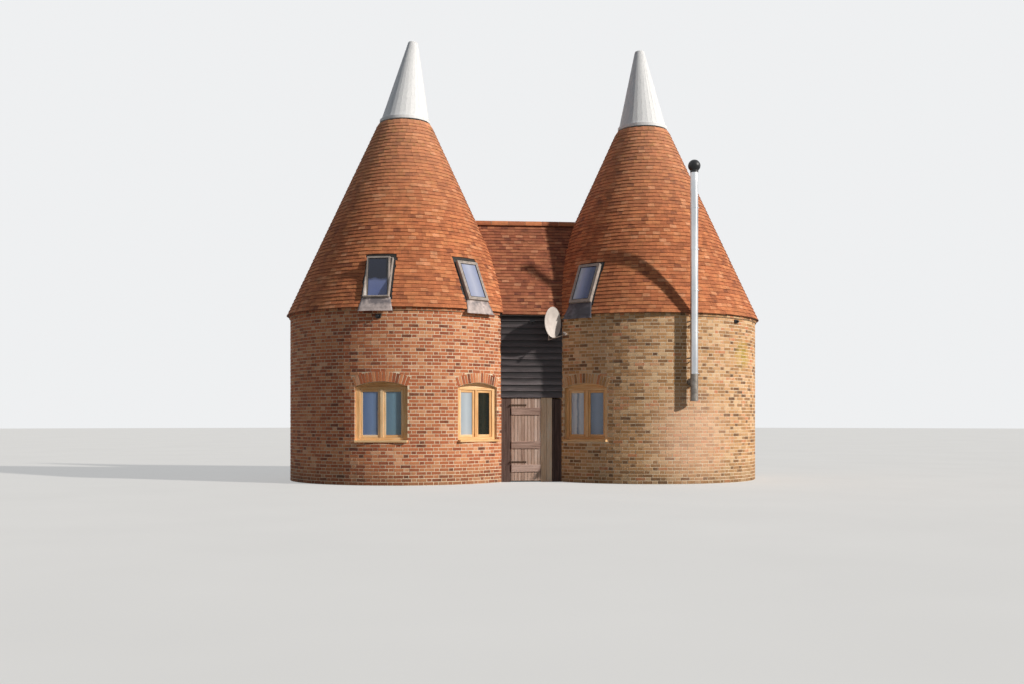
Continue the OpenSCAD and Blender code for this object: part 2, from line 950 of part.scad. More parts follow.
// Two posts beside the leaf, and the beam that carries the boarded wall over them
module gate_frame() {
    color("#6b5c4c") difference() {
        union() {
            for (x = [left_jamb_x - gate_post_w, right_jamb_x])
                translate([x, post_y, 0]) cube([gate_post_w, gate_post_d, gate_h]);
            translate([-kiln_spacing / 2, post_y, gate_h])
                cube([kiln_spacing, link_wall_t - plank_t, gate_head]);
        }
        for (side = [LEFT, RIGHT]) kiln_outside(side);
    }
}

module plank_screen() {
    color("#9c8570") difference() {
        for (x = [left_jamb_x - kiln_spacing / 2, right_jamb_x])
            translate([x, plank_y, 0]) cube([kiln_spacing / 2, plank_t, gate_h]);
        for (side = [LEFT, RIGHT]) kiln_outside(side);
    }
}

module gate_leaf() {
    color("#a08a75") {
        translate([gate_x0, plank_y, gate_gap])
            cube([gate_x1 - gate_x0, plank_t, gate_h - gate_gap - leaf_gap]);
        for (z = ledges_at)
            translate([gate_x0 + leaf_gap, plank_y - ledge_t, z])
                cube([gate_x1 - gate_x0 - 2 * leaf_gap, ledge_t, ledge_h]);
    }
}

// The hinges stand in front of the planks, so that the leaf opens outwards
eye_r = pin_r + seat + eye_t;
pin_x = gate_x0 - leaf_gap / 2;
pin_y = plank_y - eye_r - leaf_gap;

// Each strap lies on the leaf, and its cranked end is rolled round the pin
module gate_straps() {
    color("#2c2c2e") for (z = straps_at) difference() {
        union() {
            translate([pin_x, pin_y, z]) cylinder(r = eye_r, h = strap_h);
            translate([pin_x + leaf_gap, pin_y, z]) cube([eye_r, plank_y - pin_y, strap_h]);
            translate([pin_x + leaf_gap, plank_y - strap_t, z]) cube([strap_len, strap_t, strap_h]);
        }
        translate([pin_x, pin_y, z - over]) cylinder(r = pin_r + seat, h = strap_h + 2 * over);
    }
}

// Each hook stands out from the screen, beside the leaf's edge, and turns up into the pin
module gate_pins() {
    hook_z = -hook_t - seat;
    color("#2c2c2e") for (z = straps_at) translate([pin_x, pin_y, z]) {
        translate([0, 0, hook_z]) cylinder(r = pin_r, h = strap_h + 2 * hook_t);
        translate([-hook_l, -pin_r, hook_z]) cube([hook_l, 2 * pin_r, hook_t]);
        translate([-hook_l, -pin_r, hook_z]) cube([hook_l / 2, plank_y - pin_y + pin_r, hook_t]);
    }
}

// Flue on the right kiln
flue_y = -kiln_r - flue_off;
flue_band_r = flue_r + flue_band_t;
first_band_z = flue_tee_z + 2 * flue_r;

module flue_pipe() {
    last_band_z = flue_top_z - flue_section / 2;
    color("#c9ccd0") on_kiln(RIGHT, flue_at) difference() {
        union() {
            translate([0, flue_y, flue_foot_z]) cylinder(r = flue_r, h = flue_top_z - flue_foot_z);
            for (z = concat(flue_foot_z, [for (z = [first_band_z:flue_section:last_band_z]) z]))
                translate([0, flue_y, z]) cylinder(r = flue_band_r, h = flue_band_h);
            translate([0, flue_y, flue_tee_z]) rotate([-90, 0, 0])
                cylinder(r = flue_r, h = flue_off + over);
        }
        cylinder(r = kiln_r + seat, h = flue_top_z);
    }
}

// The ball's collar is slipped over the pipe's top
module flue_ball() {
    color("#1b1c1e") on_kiln(RIGHT, flue_at) translate([0, flue_y, flue_top_z]) {
        difference() {
            union() {
                translate([0, 0, flue_ball_r - flue_band_h / 2]) sphere(r = flue_ball_r);
                translate([0, 0, -flue_band_h]) cylinder(r = flue_band_r, h = 3 * flue_band_h);
            }
            translate([0, 0, -flue_ball_r]) cylinder(r = flue_r + seat, h = flue_ball_r + seat);
        }
    }
}

module flue_brackets() {
    color("#9ea2a6") on_kiln(RIGHT, flue_at) difference() {
        for (z = flue_brackets_at) {
            translate([0, flue_y, z]) cylinder(r = flue_band_r + seat, h = bracket_t);
            for (s = [-1, 1])
                translate([s * flue_r - flue_band_t, flue_y, z])
                    cube([2 * flue_band_t, flue_off + over, bracket_t]);
        }
        translate([0, flue_y, 0]) cylinder(r = flue_r + seat, h = flue_top_z);
        cylinder(r = kiln_r + seat, h = flue_top_z);
    }
}

// Satellite dish: a shallow shell, cut oval by a round that looks up past the horizon.
// Here local -Y is the way that the dish faces.
dish_depth = dish_curve - sqrt(dish_curve * dish_curve - dish_r * dish_r);
dish_half_h = dish_r / cos(dish_look_up);
dish_y = -link_half - dish_out;

module at_dish() {
    translate([dish_x, dish_y, dish_z]) rotate([0, 0, dish_facing]) children();
}

module dish() {
    color("#d8d6d0") at_dish() intersection() {
        translate([0, dish_depth - dish_curve, 0]) difference() {
            sphere(r = dish_curve);
            sphere(r = dish_curve - dish_t);
        }
        rotate([90 - dish_look_up, 0, 0]) cylinder(r = dish_r, h = 2 * dish_r, center = true);
    }
}

// A round rod between two points
module rod(from, to, r) {
    along = to - from;
    translate(from)
        rotate([0, acos(along[2] / norm(along)), atan2(along[1], along[0])])
            cylinder(r = r, h = norm(along));
}

// Wall plate and arm, mast, clamp behind the dish, and the feed arm under its rim
module dish_mount() {
    mast_foot = -dish_half_h - 4 * feed_arm_r;
    feed_at = [0, -feed_reach, -feed_down];
    mast_x = dish_x - mast_off * sin(dish_facing);
    mast_y = dish_y + mast_off * cos(dish_facing);
    arm_z = dish_z - wall_arm_down;
    color("#77797b") {
        at_dish() {
            rod([0, mast_off, mast_foot - feed_arm_r], [0, mast_off, mast_r], mast_r);
            translate([-mast_r, dish_depth + seat, -mast_r])
                cube([2 * mast_r, mast_off - dish_depth, 2 * mast_r]);
            rod([0, mast_off, mast_foot], feed_at, feed_arm_r);
            rod(feed_at, feed_at + feed_l * [0, cos(dish_look_up), sin(dish_look_up)], feed_r);
        }
        rod([mast_x, mast_y, arm_z], [mast_x, -link_half - wall_plate_t / 2, arm_z], mast_r);
        translate([
            mast_x - wall_plate_w / 2,
            -link_half - wall_plate_t,
            arm_z - wall_plate_w / 2
        ])
            cube([wall_plate_w, wall_plate_t, wall_plate_w]);
    }
}

// Small lamps on the walls
module lamp() {
    translate([-lamp_w / 2, -lamp_d, lamp_z]) cube([lamp_w, lamp_d, lamp_h]);
}

module wall_lamps() {
    color("#2a2b2d") {
        on_kiln(LEFT, left_lamp_at) translate([0, -kiln_r, 0]) lamp();
        on_kiln(RIGHT, right_lamp_at) translate([0, -kiln_r, 0]) lamp();
        translate([link_lamp_x, -link_half, 0]) lamp();
    }
}

left_wall_front();
left_wall_side();
left_wall_rear();
left_wall_link();
right_wall_front();
right_wall_side();
right_wall_rear();
right_wall_link();
left_arches();
right_arches();
eaves_courses();
ground_floor();
upper_floors();
window_frames();
casements();
window_glass();
left_cone_front();
left_cone_rear();
right_cone_front();
right_cone_rear();
cone_curbs();
cowl_bearers();
left_cowl();
right_cowl();
left_cowl_post();
right_cowl_post();
rooflight_frames();
rooflight_sashes();
rooflight_glass();
lead_aprons();
link_wall_front();
link_wall_rear();
link_roof_front();
link_roof_rear();
ridge_tiles();
gate_frame();
plank_screen();
gate_leaf();
gate_straps();
gate_pins();
flue_pipe();
flue_ball();
flue_brackets();
dish();
dish_mount();
wall_lamps();
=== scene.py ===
# %% [markdown]
# # A twin-kiln oast house
#
# An oast house dried hops. Warm air rose through two round brick kilns, up their tall tiled
# cones, and out at the white cowls, which turn their backs to the wind. Here a narrow boarded
# link with a plank gate joins the kilns.
#
# The solids of the building come ready-made, as a fixed frame. This notebook dresses them:
# single bricks, tiles and boards are laid over the solids, and every surface gets a material
# that is worked out by nodes. The first cell loads the frame and defines helpers that
# measure boxes.

# %% Load the frame
import functools
import random
from math import asin, atan, atan2, ceil, cos, degrees, pi, radians, remainder, sin, sqrt, tan
from types import SimpleNamespace

import bmesh
import bpy
import numpy as np
from mathutils import Matrix, Vector, noise


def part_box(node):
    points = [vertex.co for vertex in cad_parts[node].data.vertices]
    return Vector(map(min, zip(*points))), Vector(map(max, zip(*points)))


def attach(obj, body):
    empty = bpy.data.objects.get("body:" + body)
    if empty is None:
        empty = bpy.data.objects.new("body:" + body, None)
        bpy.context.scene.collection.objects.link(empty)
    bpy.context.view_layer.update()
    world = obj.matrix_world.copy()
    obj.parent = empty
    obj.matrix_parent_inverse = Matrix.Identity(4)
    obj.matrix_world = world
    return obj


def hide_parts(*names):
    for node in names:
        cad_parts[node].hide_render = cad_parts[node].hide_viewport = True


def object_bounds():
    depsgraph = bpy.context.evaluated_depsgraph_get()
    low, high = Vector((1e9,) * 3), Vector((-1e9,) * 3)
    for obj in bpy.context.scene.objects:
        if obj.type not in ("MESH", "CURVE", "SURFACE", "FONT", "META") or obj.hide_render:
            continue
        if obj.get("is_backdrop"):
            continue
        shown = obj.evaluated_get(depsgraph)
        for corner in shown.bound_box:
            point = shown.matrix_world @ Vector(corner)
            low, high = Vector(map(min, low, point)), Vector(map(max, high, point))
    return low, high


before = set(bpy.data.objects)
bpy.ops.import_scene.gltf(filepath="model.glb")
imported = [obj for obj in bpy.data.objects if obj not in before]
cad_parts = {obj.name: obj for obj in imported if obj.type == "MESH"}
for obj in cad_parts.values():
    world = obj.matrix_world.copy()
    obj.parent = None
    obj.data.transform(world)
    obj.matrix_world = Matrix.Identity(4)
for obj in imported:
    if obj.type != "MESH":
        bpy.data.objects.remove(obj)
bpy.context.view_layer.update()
scene = bpy.context.scene
random.seed(1847)

# %% [markdown]
# ## Sizes that the rest is worked out from
#
# The kilns' middles, radii and heights are read from the frame, so the bricks and tiles follow
# the solids. The sizes of a brick, a tile or a board are those that a builder would buy.

# %% Sizes of the building, in metres
def cone_sizes(front_node):
    low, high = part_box(front_node)
    middle, reach = (low.x + high.x) / 2, (high.x - low.x) / 2
    return SimpleNamespace(x=middle, eaves_r=reach, eaves_z=low.z, top_z=high.z)


LEFT = cone_sizes("left_cone_front")
RIGHT = cone_sizes("right_cone_front")
KILN_R = LEFT.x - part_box("left_wall_side")[0].x
CONE_TOP_R = 0.64
COURSE_H = 0.075
COURSE_OUT = 0.03
LINK_Y = -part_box("link_wall_front")[0].y
LINK_RIDGE_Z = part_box("link_roof_front")[1].z
LINK_EAVES_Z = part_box("link_roof_front")[0].z
LINK_EAVES_Y = -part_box("link_roof_front")[0].y
TILE_EDGE = 0.04
LINK_PITCH = atan2(LINK_RIDGE_Z - LINK_EAVES_Z - TILE_EDGE, LINK_EAVES_Y)
# Bearings of the windows and rooflights, in degrees from the front
LEFT.windows = [-10.7, 38.5, 169.3]
RIGHT.windows = [-41, 221]
# The sash of this rooflight stands open
VENTED_AT = -12.8
LEFT.lights = [VENTED_AT, 37.5, 167.2]
RIGHT.lights = [-43.5, 223.5]
for kiln, toward_link in ((LEFT, 1), (RIGHT, -1)):
    kiln.wall_z = kiln.eaves_z - COURSE_H
    kiln.toward_link = toward_link
    kiln.run = (kiln.eaves_r - CONE_TOP_R) / (kiln.top_z - kiln.eaves_z)
    kiln.slope = atan2(1, kiln.run)
    print("kiln at x", round(kiln.x, 3), "slope", round(degrees(kiln.slope), 1))


# %% Places on a kiln and on a cone
def shift(x, y, z):
    return Matrix.Translation((x, y, z))


def rotation(angle, axis):
    return Matrix.Rotation(angle, 4, axis)


def on_kiln(kiln, bearing):
    """Local -Y points outwards at a bearing, which is counted in degrees from the front."""
    return shift(kiln.x, 0, 0) @ rotation(radians(bearing), "Z")


def cone_r(kiln, z):
    return kiln.eaves_r - (z - kiln.eaves_z) * kiln.run


def on_cone(kiln, bearing, z):
    """Local X is level, Y runs up the slope and Z points out of the tiles."""
    return on_kiln(kiln, bearing) @ shift(0, -cone_r(kiln, z), z) @ rotation(kiln.slope, "X")


# %% [markdown]
# ## Camera, light and floor
#
# The photograph was taken level, at eye height, a little left of the middle and some 27 m away.
# The camera stands at that place and looks the same way. A sun lamp, whose disc is wider than
# the real sun's, gives the key light from the right, and a pale world fills the shade.

# %% Camera
camera_data = bpy.data.cameras.new("camera")
camera = bpy.data.objects.new("camera", camera_data)
scene.collection.objects.link(camera)
camera.location = (-2.741, -27.229, 1.49)
camera.rotation_euler = (radians(90), 0, radians(-5.08))
camera_data.sensor_width = 36
camera_data.lens = 38.4
camera_data.shift_y = 0.075
camera_data.clip_end = 500
scene.camera = camera
print("camera at", camera.location)

# %% Light
sun_data = bpy.data.lights.new("key", "SUN")
sun = bpy.data.objects.new("key", sun_data)
scene.collection.objects.link(sun)
sun.rotation_euler = Vector((0.772, -0.445, 0.454)).to_track_quat("Z", "Y").to_euler()
sun_data.energy = 3.6
sun_data.angle = radians(2)
sun_data.color = (1.0, 0.95, 0.88)
scene.view_settings.view_transform = "Standard"
print("sun strength", sun_data.energy)


# %% [markdown]
# ## Helpers for materials
#
# A material is a small tree of nodes. `add` makes one node, sets or links its sockets and gives
# back its output, so a whole finish reads as a few lines.

# %% Node helpers
def add(tree, kind, out=0, props=None, **inputs):
    """Makes a node. An input is named by its label, or by its number as in i0."""
    made = tree.nodes.new("ShaderNode" + kind)
    for key, value in (props or {}).items():
        setattr(made, key, value)
    for key, value in inputs.items():
        socket = made.inputs[int(key[1:])] if key[1:].isdigit() else made.inputs[key.replace("_", " ")]
        if isinstance(value, bpy.types.NodeSocket):
            tree.links.new(value, socket)
        else:
            socket.default_value = value
    return made.outputs[out]


def colour(text):
    """A colour from its web notation, made linear for the shader."""
    parts = [int(text[i : i + 2], 16) / 255 for i in (1, 3, 5)]
    linear = [p / 12.92 if p <= 0.04045 else ((p + 0.055) / 1.055) ** 2.4 for p in parts]
    return (*linear, 1.0)


def ramp(tree, fac, stops):
    made = tree.nodes.new("ShaderNodeValToRGB")
    tree.links.new(fac, made.inputs[0])
    elements = made.color_ramp.elements
    while len(elements) < len(stops):
        elements.new(0.5)
    for element, (place, shade) in zip(elements, stops):
        element.position = place
        element.color = colour(shade) if isinstance(shade, str) else (shade, shade, shade, 1)
    return made.outputs[0]


def mix(tree, fac, a, b, blend="MIX"):
    props = {"data_type": "RGBA", "blend_type": blend}
    return add(tree, "Mix", 2, props, i0=fac, i6=a, i7=b)


def maths(tree, operation, a, b=0.5, c=0.0):
    return add(tree, "Math", props={"operation": operation}, i0=a, i1=b, i2=c)


def times(tree, a, b):
    return maths(tree, "MULTIPLY", a, b)


def plus(tree, a, b):
    return maths(tree, "ADD", a, b)


def speckle(tree, where, scale, detail=6, roughness=0.6):
    return add(tree, "TexNoise", Vector=where, Scale=scale, Detail=detail, Roughness=roughness)


def object_place(tree):
    return add(tree, "TexCoord", 3)


def own(tree, name, out):
    """Reads an attribute that a piece carries on its points."""
    return add(tree, "Attribute", out, {"attribute_name": name})


def new_material(name, roughness, metallic=0.0, **sockets):
    material = bpy.data.materials.new(name)
    material.use_nodes = True
    tree = material.node_tree
    shader = tree.nodes["Principled BSDF"]
    shader.inputs["Roughness"].default_value = roughness
    shader.inputs["Metallic"].default_value = metallic
    for key, value in sockets.items():
        shader.inputs[key.replace("_", " ")].default_value = value
    return material, tree, shader


def finish_material(tree, shader, base, height=None, distance=0.002, strength=0.6, rough=None):
    tree.links.new(base, shader.inputs["Base Color"])
    if height is not None:
        bumped = add(tree, "Bump", Strength=strength, Distance=distance, Height=height)
        tree.links.new(bumped, shader.inputs["Normal"])
    if rough is not None:
        tree.links.new(rough, shader.inputs["Roughness"])


print("node helpers ready")

# %% [markdown]
# ## Bricks, tiles, mortar and concrete
#
# Bricks from one kiln load still differ: each carries its own number, `tint`, and the ramp turns
# it into one of the firing colours. Two sizes of noise then mottle the face, and a slow noise
# over the whole wall weathers it. The left kiln is orange-red, the right one tan and brown. The
# link's tiles, which lie between the cones and get less sun, are a darker copy of the cone tiles:
# partly moss, and partly painted shade.


# %% Brick and tile materials
def clay(name, firings, weather, weather_share, stain, grit=55):
    material, tree, shader = new_material(name, 0.88)
    where = object_place(tree)
    mottle = maths(tree, "MULTIPLY_ADD", speckle(tree, where, 9, 5), 0.3, -0.15)
    base = ramp(tree, plus(tree, own(tree, "tint", 2), mottle), firings)
    fine = speckle(tree, where, grit, 8, 0.7)
    shade = ramp(tree, fine, [(0.25, 0.62), (0.5, 1.0), (0.8, 1.25)])
    base = mix(tree, 0.75, base, shade, "MULTIPLY")
    slow = speckle(tree, where, 0.55, 7, 0.62)
    mask = ramp(tree, slow, [(0.45, 0.0), (0.68, weather_share)])
    base = mix(tree, mask, base, colour(weather))
    base = stain(tree, where, base)
    height = plus(tree, fine, times(tree, speckle(tree, where, 18, 3), 0.8))
    finish_material(tree, shader, base, height, 0.0022, 0.7)
    return material


def near(tree, where, point, reach, rag=0.5):
    """A soft ragged patch round a point: 1 in its middle, 0 beyond its reach."""
    away = add(tree, "VectorMath", 1, {"operation": "DISTANCE"}, i0=where, i1=point)
    ragged = plus(tree, away, times(tree, speckle(tree, where, 5, 6), rag * reach))
    return ramp(tree, maths(tree, "DIVIDE", ragged, reach), [(0.55, 1.0), (1.25, 0.0)])


def damp_foot(tree, where, base):
    """Rain splash and algae darken the lowest courses."""
    height = add(tree, "SeparateXYZ", 2, Vector=where)
    ragged = plus(tree, height, times(tree, speckle(tree, where, 3, 6), 0.7))
    mask = ramp(tree, ragged, [(0.3, 0.55), (0.95, 0.0)])
    return mix(tree, mask, base, colour("#5e4a34"))


def right_wall_stains(tree, where, base):
    base = damp_foot(tree, where, base)
    pale = near(tree, where, (3.6, -2.7, 1.1), 1.6)
    base = mix(tree, times(tree, pale, 0.6), base, colour("#f2bd9c"))
    lichen = near(tree, where, (5.0, -1.9, 3.05), 0.75, 0.9)
    return mix(tree, times(tree, lichen, 0.75), base, colour("#c4a440"))


def tile_weather_and_shade(tree, where, base):
    """Soot runs along the courses, painted shade darkens the faces that point down, and the dry top is paler
    with lichen.
    """
    along = speckle(tree, add(tree, "Mapping", Vector=where, Scale=(1.1, 1.1, 11)), 1.6, 5)
    base = mix(tree, 0.8, base, ramp(tree, along, [(0.3, 0.74), (0.5, 1.0), (0.7, 1.2)]), "MULTIPLY")
    blotch = speckle(tree, where, 5, 7, 0.75)
    base = mix(tree, 0.85, base, ramp(tree, blotch, [(0.36, 0.7), (0.5, 1.0), (0.64, 1.24)]), "MULTIPLY")
    # Painted shade: faces that point down, the tiles' tails, are darkened by their normal
    facing = add(tree, "SeparateXYZ", 2, Vector=add(tree, "NewGeometry", 1))
    tail = ramp(tree, times(tree, facing, -1.0), [(0.3, 0.0), (0.6, 0.7)])
    base = mix(tree, tail, base, colour("#3c241a"))
    height = add(tree, "SeparateXYZ", 2, Vector=where)
    high = ramp(tree, times(tree, height, 0.1), [(0.6, 0.0), (0.88, 1.0)])
    base = mix(tree, times(tree, high, 0.28), base, colour("#eeb896"))
    spots = ramp(tree, speckle(tree, where, 7, 8, 0.7), [(0.52, 0.0), (0.62, 1.0)])
    mask = times(tree, times(tree, high, spots), 0.5)
    return mix(tree, mask, base, colour("#b08a4c"))


RED_BRICK = clay(
    "red_brick",
    [
        (0.0, "#70402e"), (0.1, "#a4593b"), (0.4, "#c26e48"),
        (0.7, "#d28155"), (0.92, "#e09b6e"), (1.0, "#ebb08a"),
    ],
    "#a8633c", 0.3, damp_foot,
)
YELLOW_BRICK = clay(
    "yellow_brick",
    [
        (0.0, "#6e4f3a"), (0.12, "#a67a54"), (0.4, "#ce9a68"),
        (0.64, "#deac7c"), (0.86, "#eec89c"), (1.0, "#d88a60"),
    ],
    "#b08350", 0.4, right_wall_stains,
)
TILE = clay(
    "clay_tile",
    [(0.0, "#935539"), (0.06, "#b36a44"), (0.5, "#c9794e"), (0.85, "#d58858"), (1.0, "#df9a70")],
    "#a8633f", 0.35, tile_weather_and_shade, grit=42,
)
# A darker copy of the tile for the link's roof: partly moss, partly painted shade
LINK_TILE_MOSS_AND_SHADE = clay(
    "link_tile",
    [(0.0, "#74402f"), (0.06, "#93543b"), (0.5, "#a86546"), (0.85, "#b87551"), (1.0, "#c88a68")],
    "#8a5138", 0.4, tile_weather_and_shade, grit=42,
)


def stone(name, roughness, scale, detail, shades, grit, depth):
    """A mottled, gritty finish for mortar and concrete."""
    material, tree, shader = new_material(name, roughness)
    where = object_place(tree)
    base = ramp(tree, speckle(tree, where, scale, detail), shades)
    finish_material(tree, shader, base, speckle(tree, where, grit, 6), depth)
    return material


MORTAR = stone("mortar", 0.95, 4, 8, [(0.3, "#a98f70"), (0.55, "#c6ab89"), (0.75, "#dcc5a5")], 160, 0.002)
CONCRETE = stone("floor_concrete", 0.85, 3, 7, [(0.3, "#8a857c"), (0.7, "#aaa59a")], 70, 0.001)
print("clay and stone finishes:", RED_BRICK.name, YELLOW_BRICK.name, TILE.name, MORTAR.name)

# %% [markdown]
# ## Wood
#
# Each board and bar carries `grain`: its own coordinates, with X along the fibres. Noise that is
# stretched along X gives streaks that follow every piece, whichever way it lies. Oak is fresh
# and golden, the gate has weathered to a pale brown, and the cladding is stained black. On the
# cladding, painted shade darkens each board under the lap above it, and a painted highlight
# lightens its lower edge.


# %% Wood materials
def wood(name, streaks, roughness, stretch=(1.3, 22, 22), depth=0.0012, wear=None, grain=True, laps=None):
    material, tree, shader = new_material(name, roughness, Specular_IOR_Level=0.35)
    where = own(tree, "grain", 1) if grain else object_place(tree)
    fibres = add(tree, "Mapping", Vector=where, Scale=stretch)
    streak = speckle(tree, fibres, 1.6, 7, 0.62)
    pick = streak
    if grain:
        shifted = times(tree, maths(tree, "SUBTRACT", own(tree, "tint", 2), 0.5), 0.35)
        pick = plus(tree, streak, shifted)
    base = ramp(tree, pick, streaks)
    fine = speckle(tree, add(tree, "Mapping", Vector=where, Scale=[7 * s for s in stretch]), 1.0, 4)
    base = mix(tree, 0.5, base, ramp(tree, fine, [(0.3, 0.7), (0.6, 1.15)]), "MULTIPLY")
    if wear:
        patches = ramp(tree, speckle(tree, object_place(tree), 2.3, 8, 0.7), [(0.5, 0.0), (0.66, 0.75)])
        base = mix(tree, patches, base, colour(wear))
    # Painted shade under each board's lap, and a painted highlight on its lower edge
    if laps:
        from_z, pitch = laps
        height = add(tree, "SeparateXYZ", 2, Vector=object_place(tree))
        board = maths(tree, "DIVIDE", maths(tree, "SUBTRACT", height, from_z), pitch)
        painted_lap_shade_and_highlight = ramp(tree, maths(tree, "FRACT", board), [(0.0, 1.25), (0.4, 1.0), (0.7, 0.4), (0.97, 0.3)])
        base = mix(tree, 1.0, base, painted_lap_shade_and_highlight, "MULTIPLY")
    finish_material(tree, shader, base, plus(tree, fine, streak), depth, 0.7)
    return material


OAK = wood("oak", [(0.25, "#d8a066"), (0.5, "#f2c48c"), (0.72, "#fbdcb2")], 0.6)
PLANK = wood(
    "weathered_plank", [(0.22, "#8f7263"), (0.45, "#c0a08f"), (0.7, "#dac2b4")],
    0.85, (1.3, 34, 34), wear="#c6a690",
)
# Pale boards whose colour is pushed brighter and warmer, as painted sunlight, since they lie in the kiln's
# shadow
PALE_PLANK_PAINTED_SUN = wood("pale_plank_painted_sunlight", [(0.25, "#ecc6a2"), (0.5, "#ffe0c0"), (0.75, "#fff0dc")], 0.85)
# A darker copy of the plank, as painted shade, for the screen's dark boards, slats and backing
PLANK_PAINTED_SHADE = wood("plank_painted_shade", [(0.25, "#3a2c28"), (0.5, "#5e4a44"), (0.75, "#7c655c")], 0.85)
LEDGE_PLANK = wood("ledge_plank", [(0.22, "#84695e"), (0.45, "#b69789"), (0.7, "#d4b8ac")], 0.85)
BOARD_PITCH = 0.15
GATE_TOP = 1.99
BLACK_BOARD = wood(
    "black_board", [(0.25, "#302b2d"), (0.55, "#514a4c"), (0.8, "#746d6f")],
    0.6, depth=0.0018, laps=(GATE_TOP, BOARD_PITCH),
)
WHITE_BOARD = wood(
    "white_board", [(0.2, "#e2e3e3"), (0.5, "#f4f4f4"), (0.8, "#fdfdfc")],
    0.5, (22, 22, 1.3), 0.0006, grain=False,
)
SOFTWOOD = wood("softwood", [(0.3, "#7e6244"), (0.7, "#a98a62")], 0.8, (6, 6, 30), grain=False)
TARRED = wood("tarred_timber", [(0.3, "#1d1a18"), (0.7, "#3a342f")], 0.7, (8, 8, 8), grain=False)
print("wood finishes ready")

# %% [markdown]
# ## Metal and glass
#
# Lead goes dull and blotched, stainless steel stays bright with faint drawn lines, and painted
# iron is almost black. Each pane gets its own painted reflection: a ramp of sky tones and dark
# room tones across it, set one by one for its place.


# %% Metal and glass materials
def metal(name, shades, roughness, metallic, scale, stretch=(1, 1, 1), depth=0.0004, patina=None):
    material, tree, shader = new_material(name, roughness, metallic)
    where = add(tree, "Mapping", Vector=object_place(tree), Scale=stretch)
    blotch = speckle(tree, where, scale, 6, 0.6)
    base = ramp(tree, blotch, [(0.32, shades[0]), (0.68, shades[1])])
    if patina:
        dull = ramp(tree, speckle(tree, where, 2.6, 3), [(0.46, 0.0), (0.56, 0.85)])
        base = mix(tree, dull, base, colour(patina))
    rough = plus(tree, times(tree, blotch, 0.25), roughness - 0.12)
    finish_material(tree, shader, base, blotch, depth, 0.5, rough)
    return material


LEAD = metal("lead", ("#9a8d8a", "#d2c2bd"), 0.65, 0.1, 7, depth=0.002, patina="#6d676b")
# A darker copy of the lead, as painted shade, for the right cone's aprons
LEAD_PAINTED_SHADE = metal("lead_painted_shade", ("#4c4a50", "#76727a"), 0.65, 0.1, 7, depth=0.002, patina="#3c3b42")
STEEL = metal("flue_steel", ("#b9bcc0", "#e2e4e6"), 0.32, 0.9, 3, (1, 1, 0.3))
DULL_STEEL = metal("dull_steel", ("#6c6660", "#a19a92"), 0.55, 0.7, 8)
GREY_METAL = metal("grey_metal", ("#94887f", "#bcafa6"), 0.55, 0.1, 10)
BLACK_METAL = metal("black_metal", ("#141416", "#26272a"), 0.42, 0.2, 12)
RUSTY_IRON = metal("rusty_iron", ("#3a2a22", "#6e5442"), 0.8, 0.3, 30, depth=0.001)
DISH_PAINT = metal("dish_paint", ("#c8bdb6", "#e2d8d1"), 0.65, 0.0, 6)
LINING = metal("white_lining", ("#cfccc6", "#e6e4e0"), 0.6, 0.0, 5)


def glass(name, painted_reflections, reach):
    """Each pane gets its own painted reflection of sky and dark room, from one side to the other."""
    material, tree, shader = new_material(name, 0.04, IOR=1.5, Transmission_Weight=0.35)
    where = object_place(tree)
    base = ramp(tree, speckle(tree, where, 1.7, 2), [(0.35, "#70829c"), (0.65, "#93a6bd")])
    for middle, way, stops in painted_reflections:
        away = add(tree, "VectorMath", 0, {"operation": "SUBTRACT"}, i0=where, i1=middle)
        across = add(tree, "VectorMath", 1, {"operation": "DOT_PRODUCT"}, i0=away, i1=way)
        flat = add(tree, "VectorMath", 0, {"operation": "MULTIPLY"}, i0=away, i1=(1, 1, 0))
        inside = maths(tree, "LESS_THAN", add(tree, "VectorMath", 1, {"operation": "LENGTH"}, i0=flat), reach)
        wavy = plus(tree, across, times(tree, speckle(tree, where, 6, 2), 0.12))
        base = mix(tree, inside, base, ramp(tree, plus(tree, wavy, 0.44), stops))
    finish_material(tree, shader, base, speckle(tree, where, 2.2, 1), 0.003, 0.12)
    return material


print("metal finishes ready")

# %% [markdown]
# ## Laying many small things
#
# A wall has thousands of bricks. One brick is modelled with bmesh, and an array of places says
# where its copies go. `lay` joins them into one mesh and gives each copy its `tint` and `grain`,
# which the materials read. A copy has only a few faces, because it is repeated so often.


# %% Shapes and the laying of copies
def shape_of(bm):
    corners = np.array([v.co[:] for v in bm.verts])
    faces = [[v.index for v in face.verts] for face in bm.faces]
    bm.free()
    return corners, faces


def mesh_of(bm, name):
    mesh = bpy.data.meshes.new(name)
    bm.to_mesh(mesh)
    bm.free()
    return mesh


def soften(bm, edges, width):
    bmesh.ops.bevel(
        bm, geom=edges, offset=width, offset_type="OFFSET", affect="EDGES",
        segments=1, profile=0.5, material=-1, clamp_overlap=True,
    )


def cut(bm, point, way, clear=False):
    """Cuts all the faces by a plane, and may take away what lies on its front."""
    whole = bm.verts[:] + bm.edges[:] + bm.faces[:]
    bmesh.ops.bisect_plane(bm, geom=whole, plane_co=point, plane_no=way, clear_outer=clear)


def thicken(bm, faces, thickness):
    bmesh.ops.solidify(bm, geom=faces, thickness=thickness)
    bmesh.ops.recalc_face_normals(bm, faces=bm.faces)


def full_spin(bm, line, steps):
    """Spins a line once round the Z axis and joins its two ends."""
    bmesh.ops.spin(
        bm, geom=line, cent=(0, 0, 0), axis=(0, 0, 1), angle=2 * pi, steps=steps, use_merge=True,
    )
    bmesh.ops.remove_doubles(bm, verts=bm.verts, dist=1e-6)


def bar(length, width, height):
    """A sharp bar with its middle at the origin."""
    bm = bmesh.new()
    bmesh.ops.create_cube(bm, size=1)
    bmesh.ops.scale(bm, vec=(length, width, height), verts=bm.verts)
    return bm


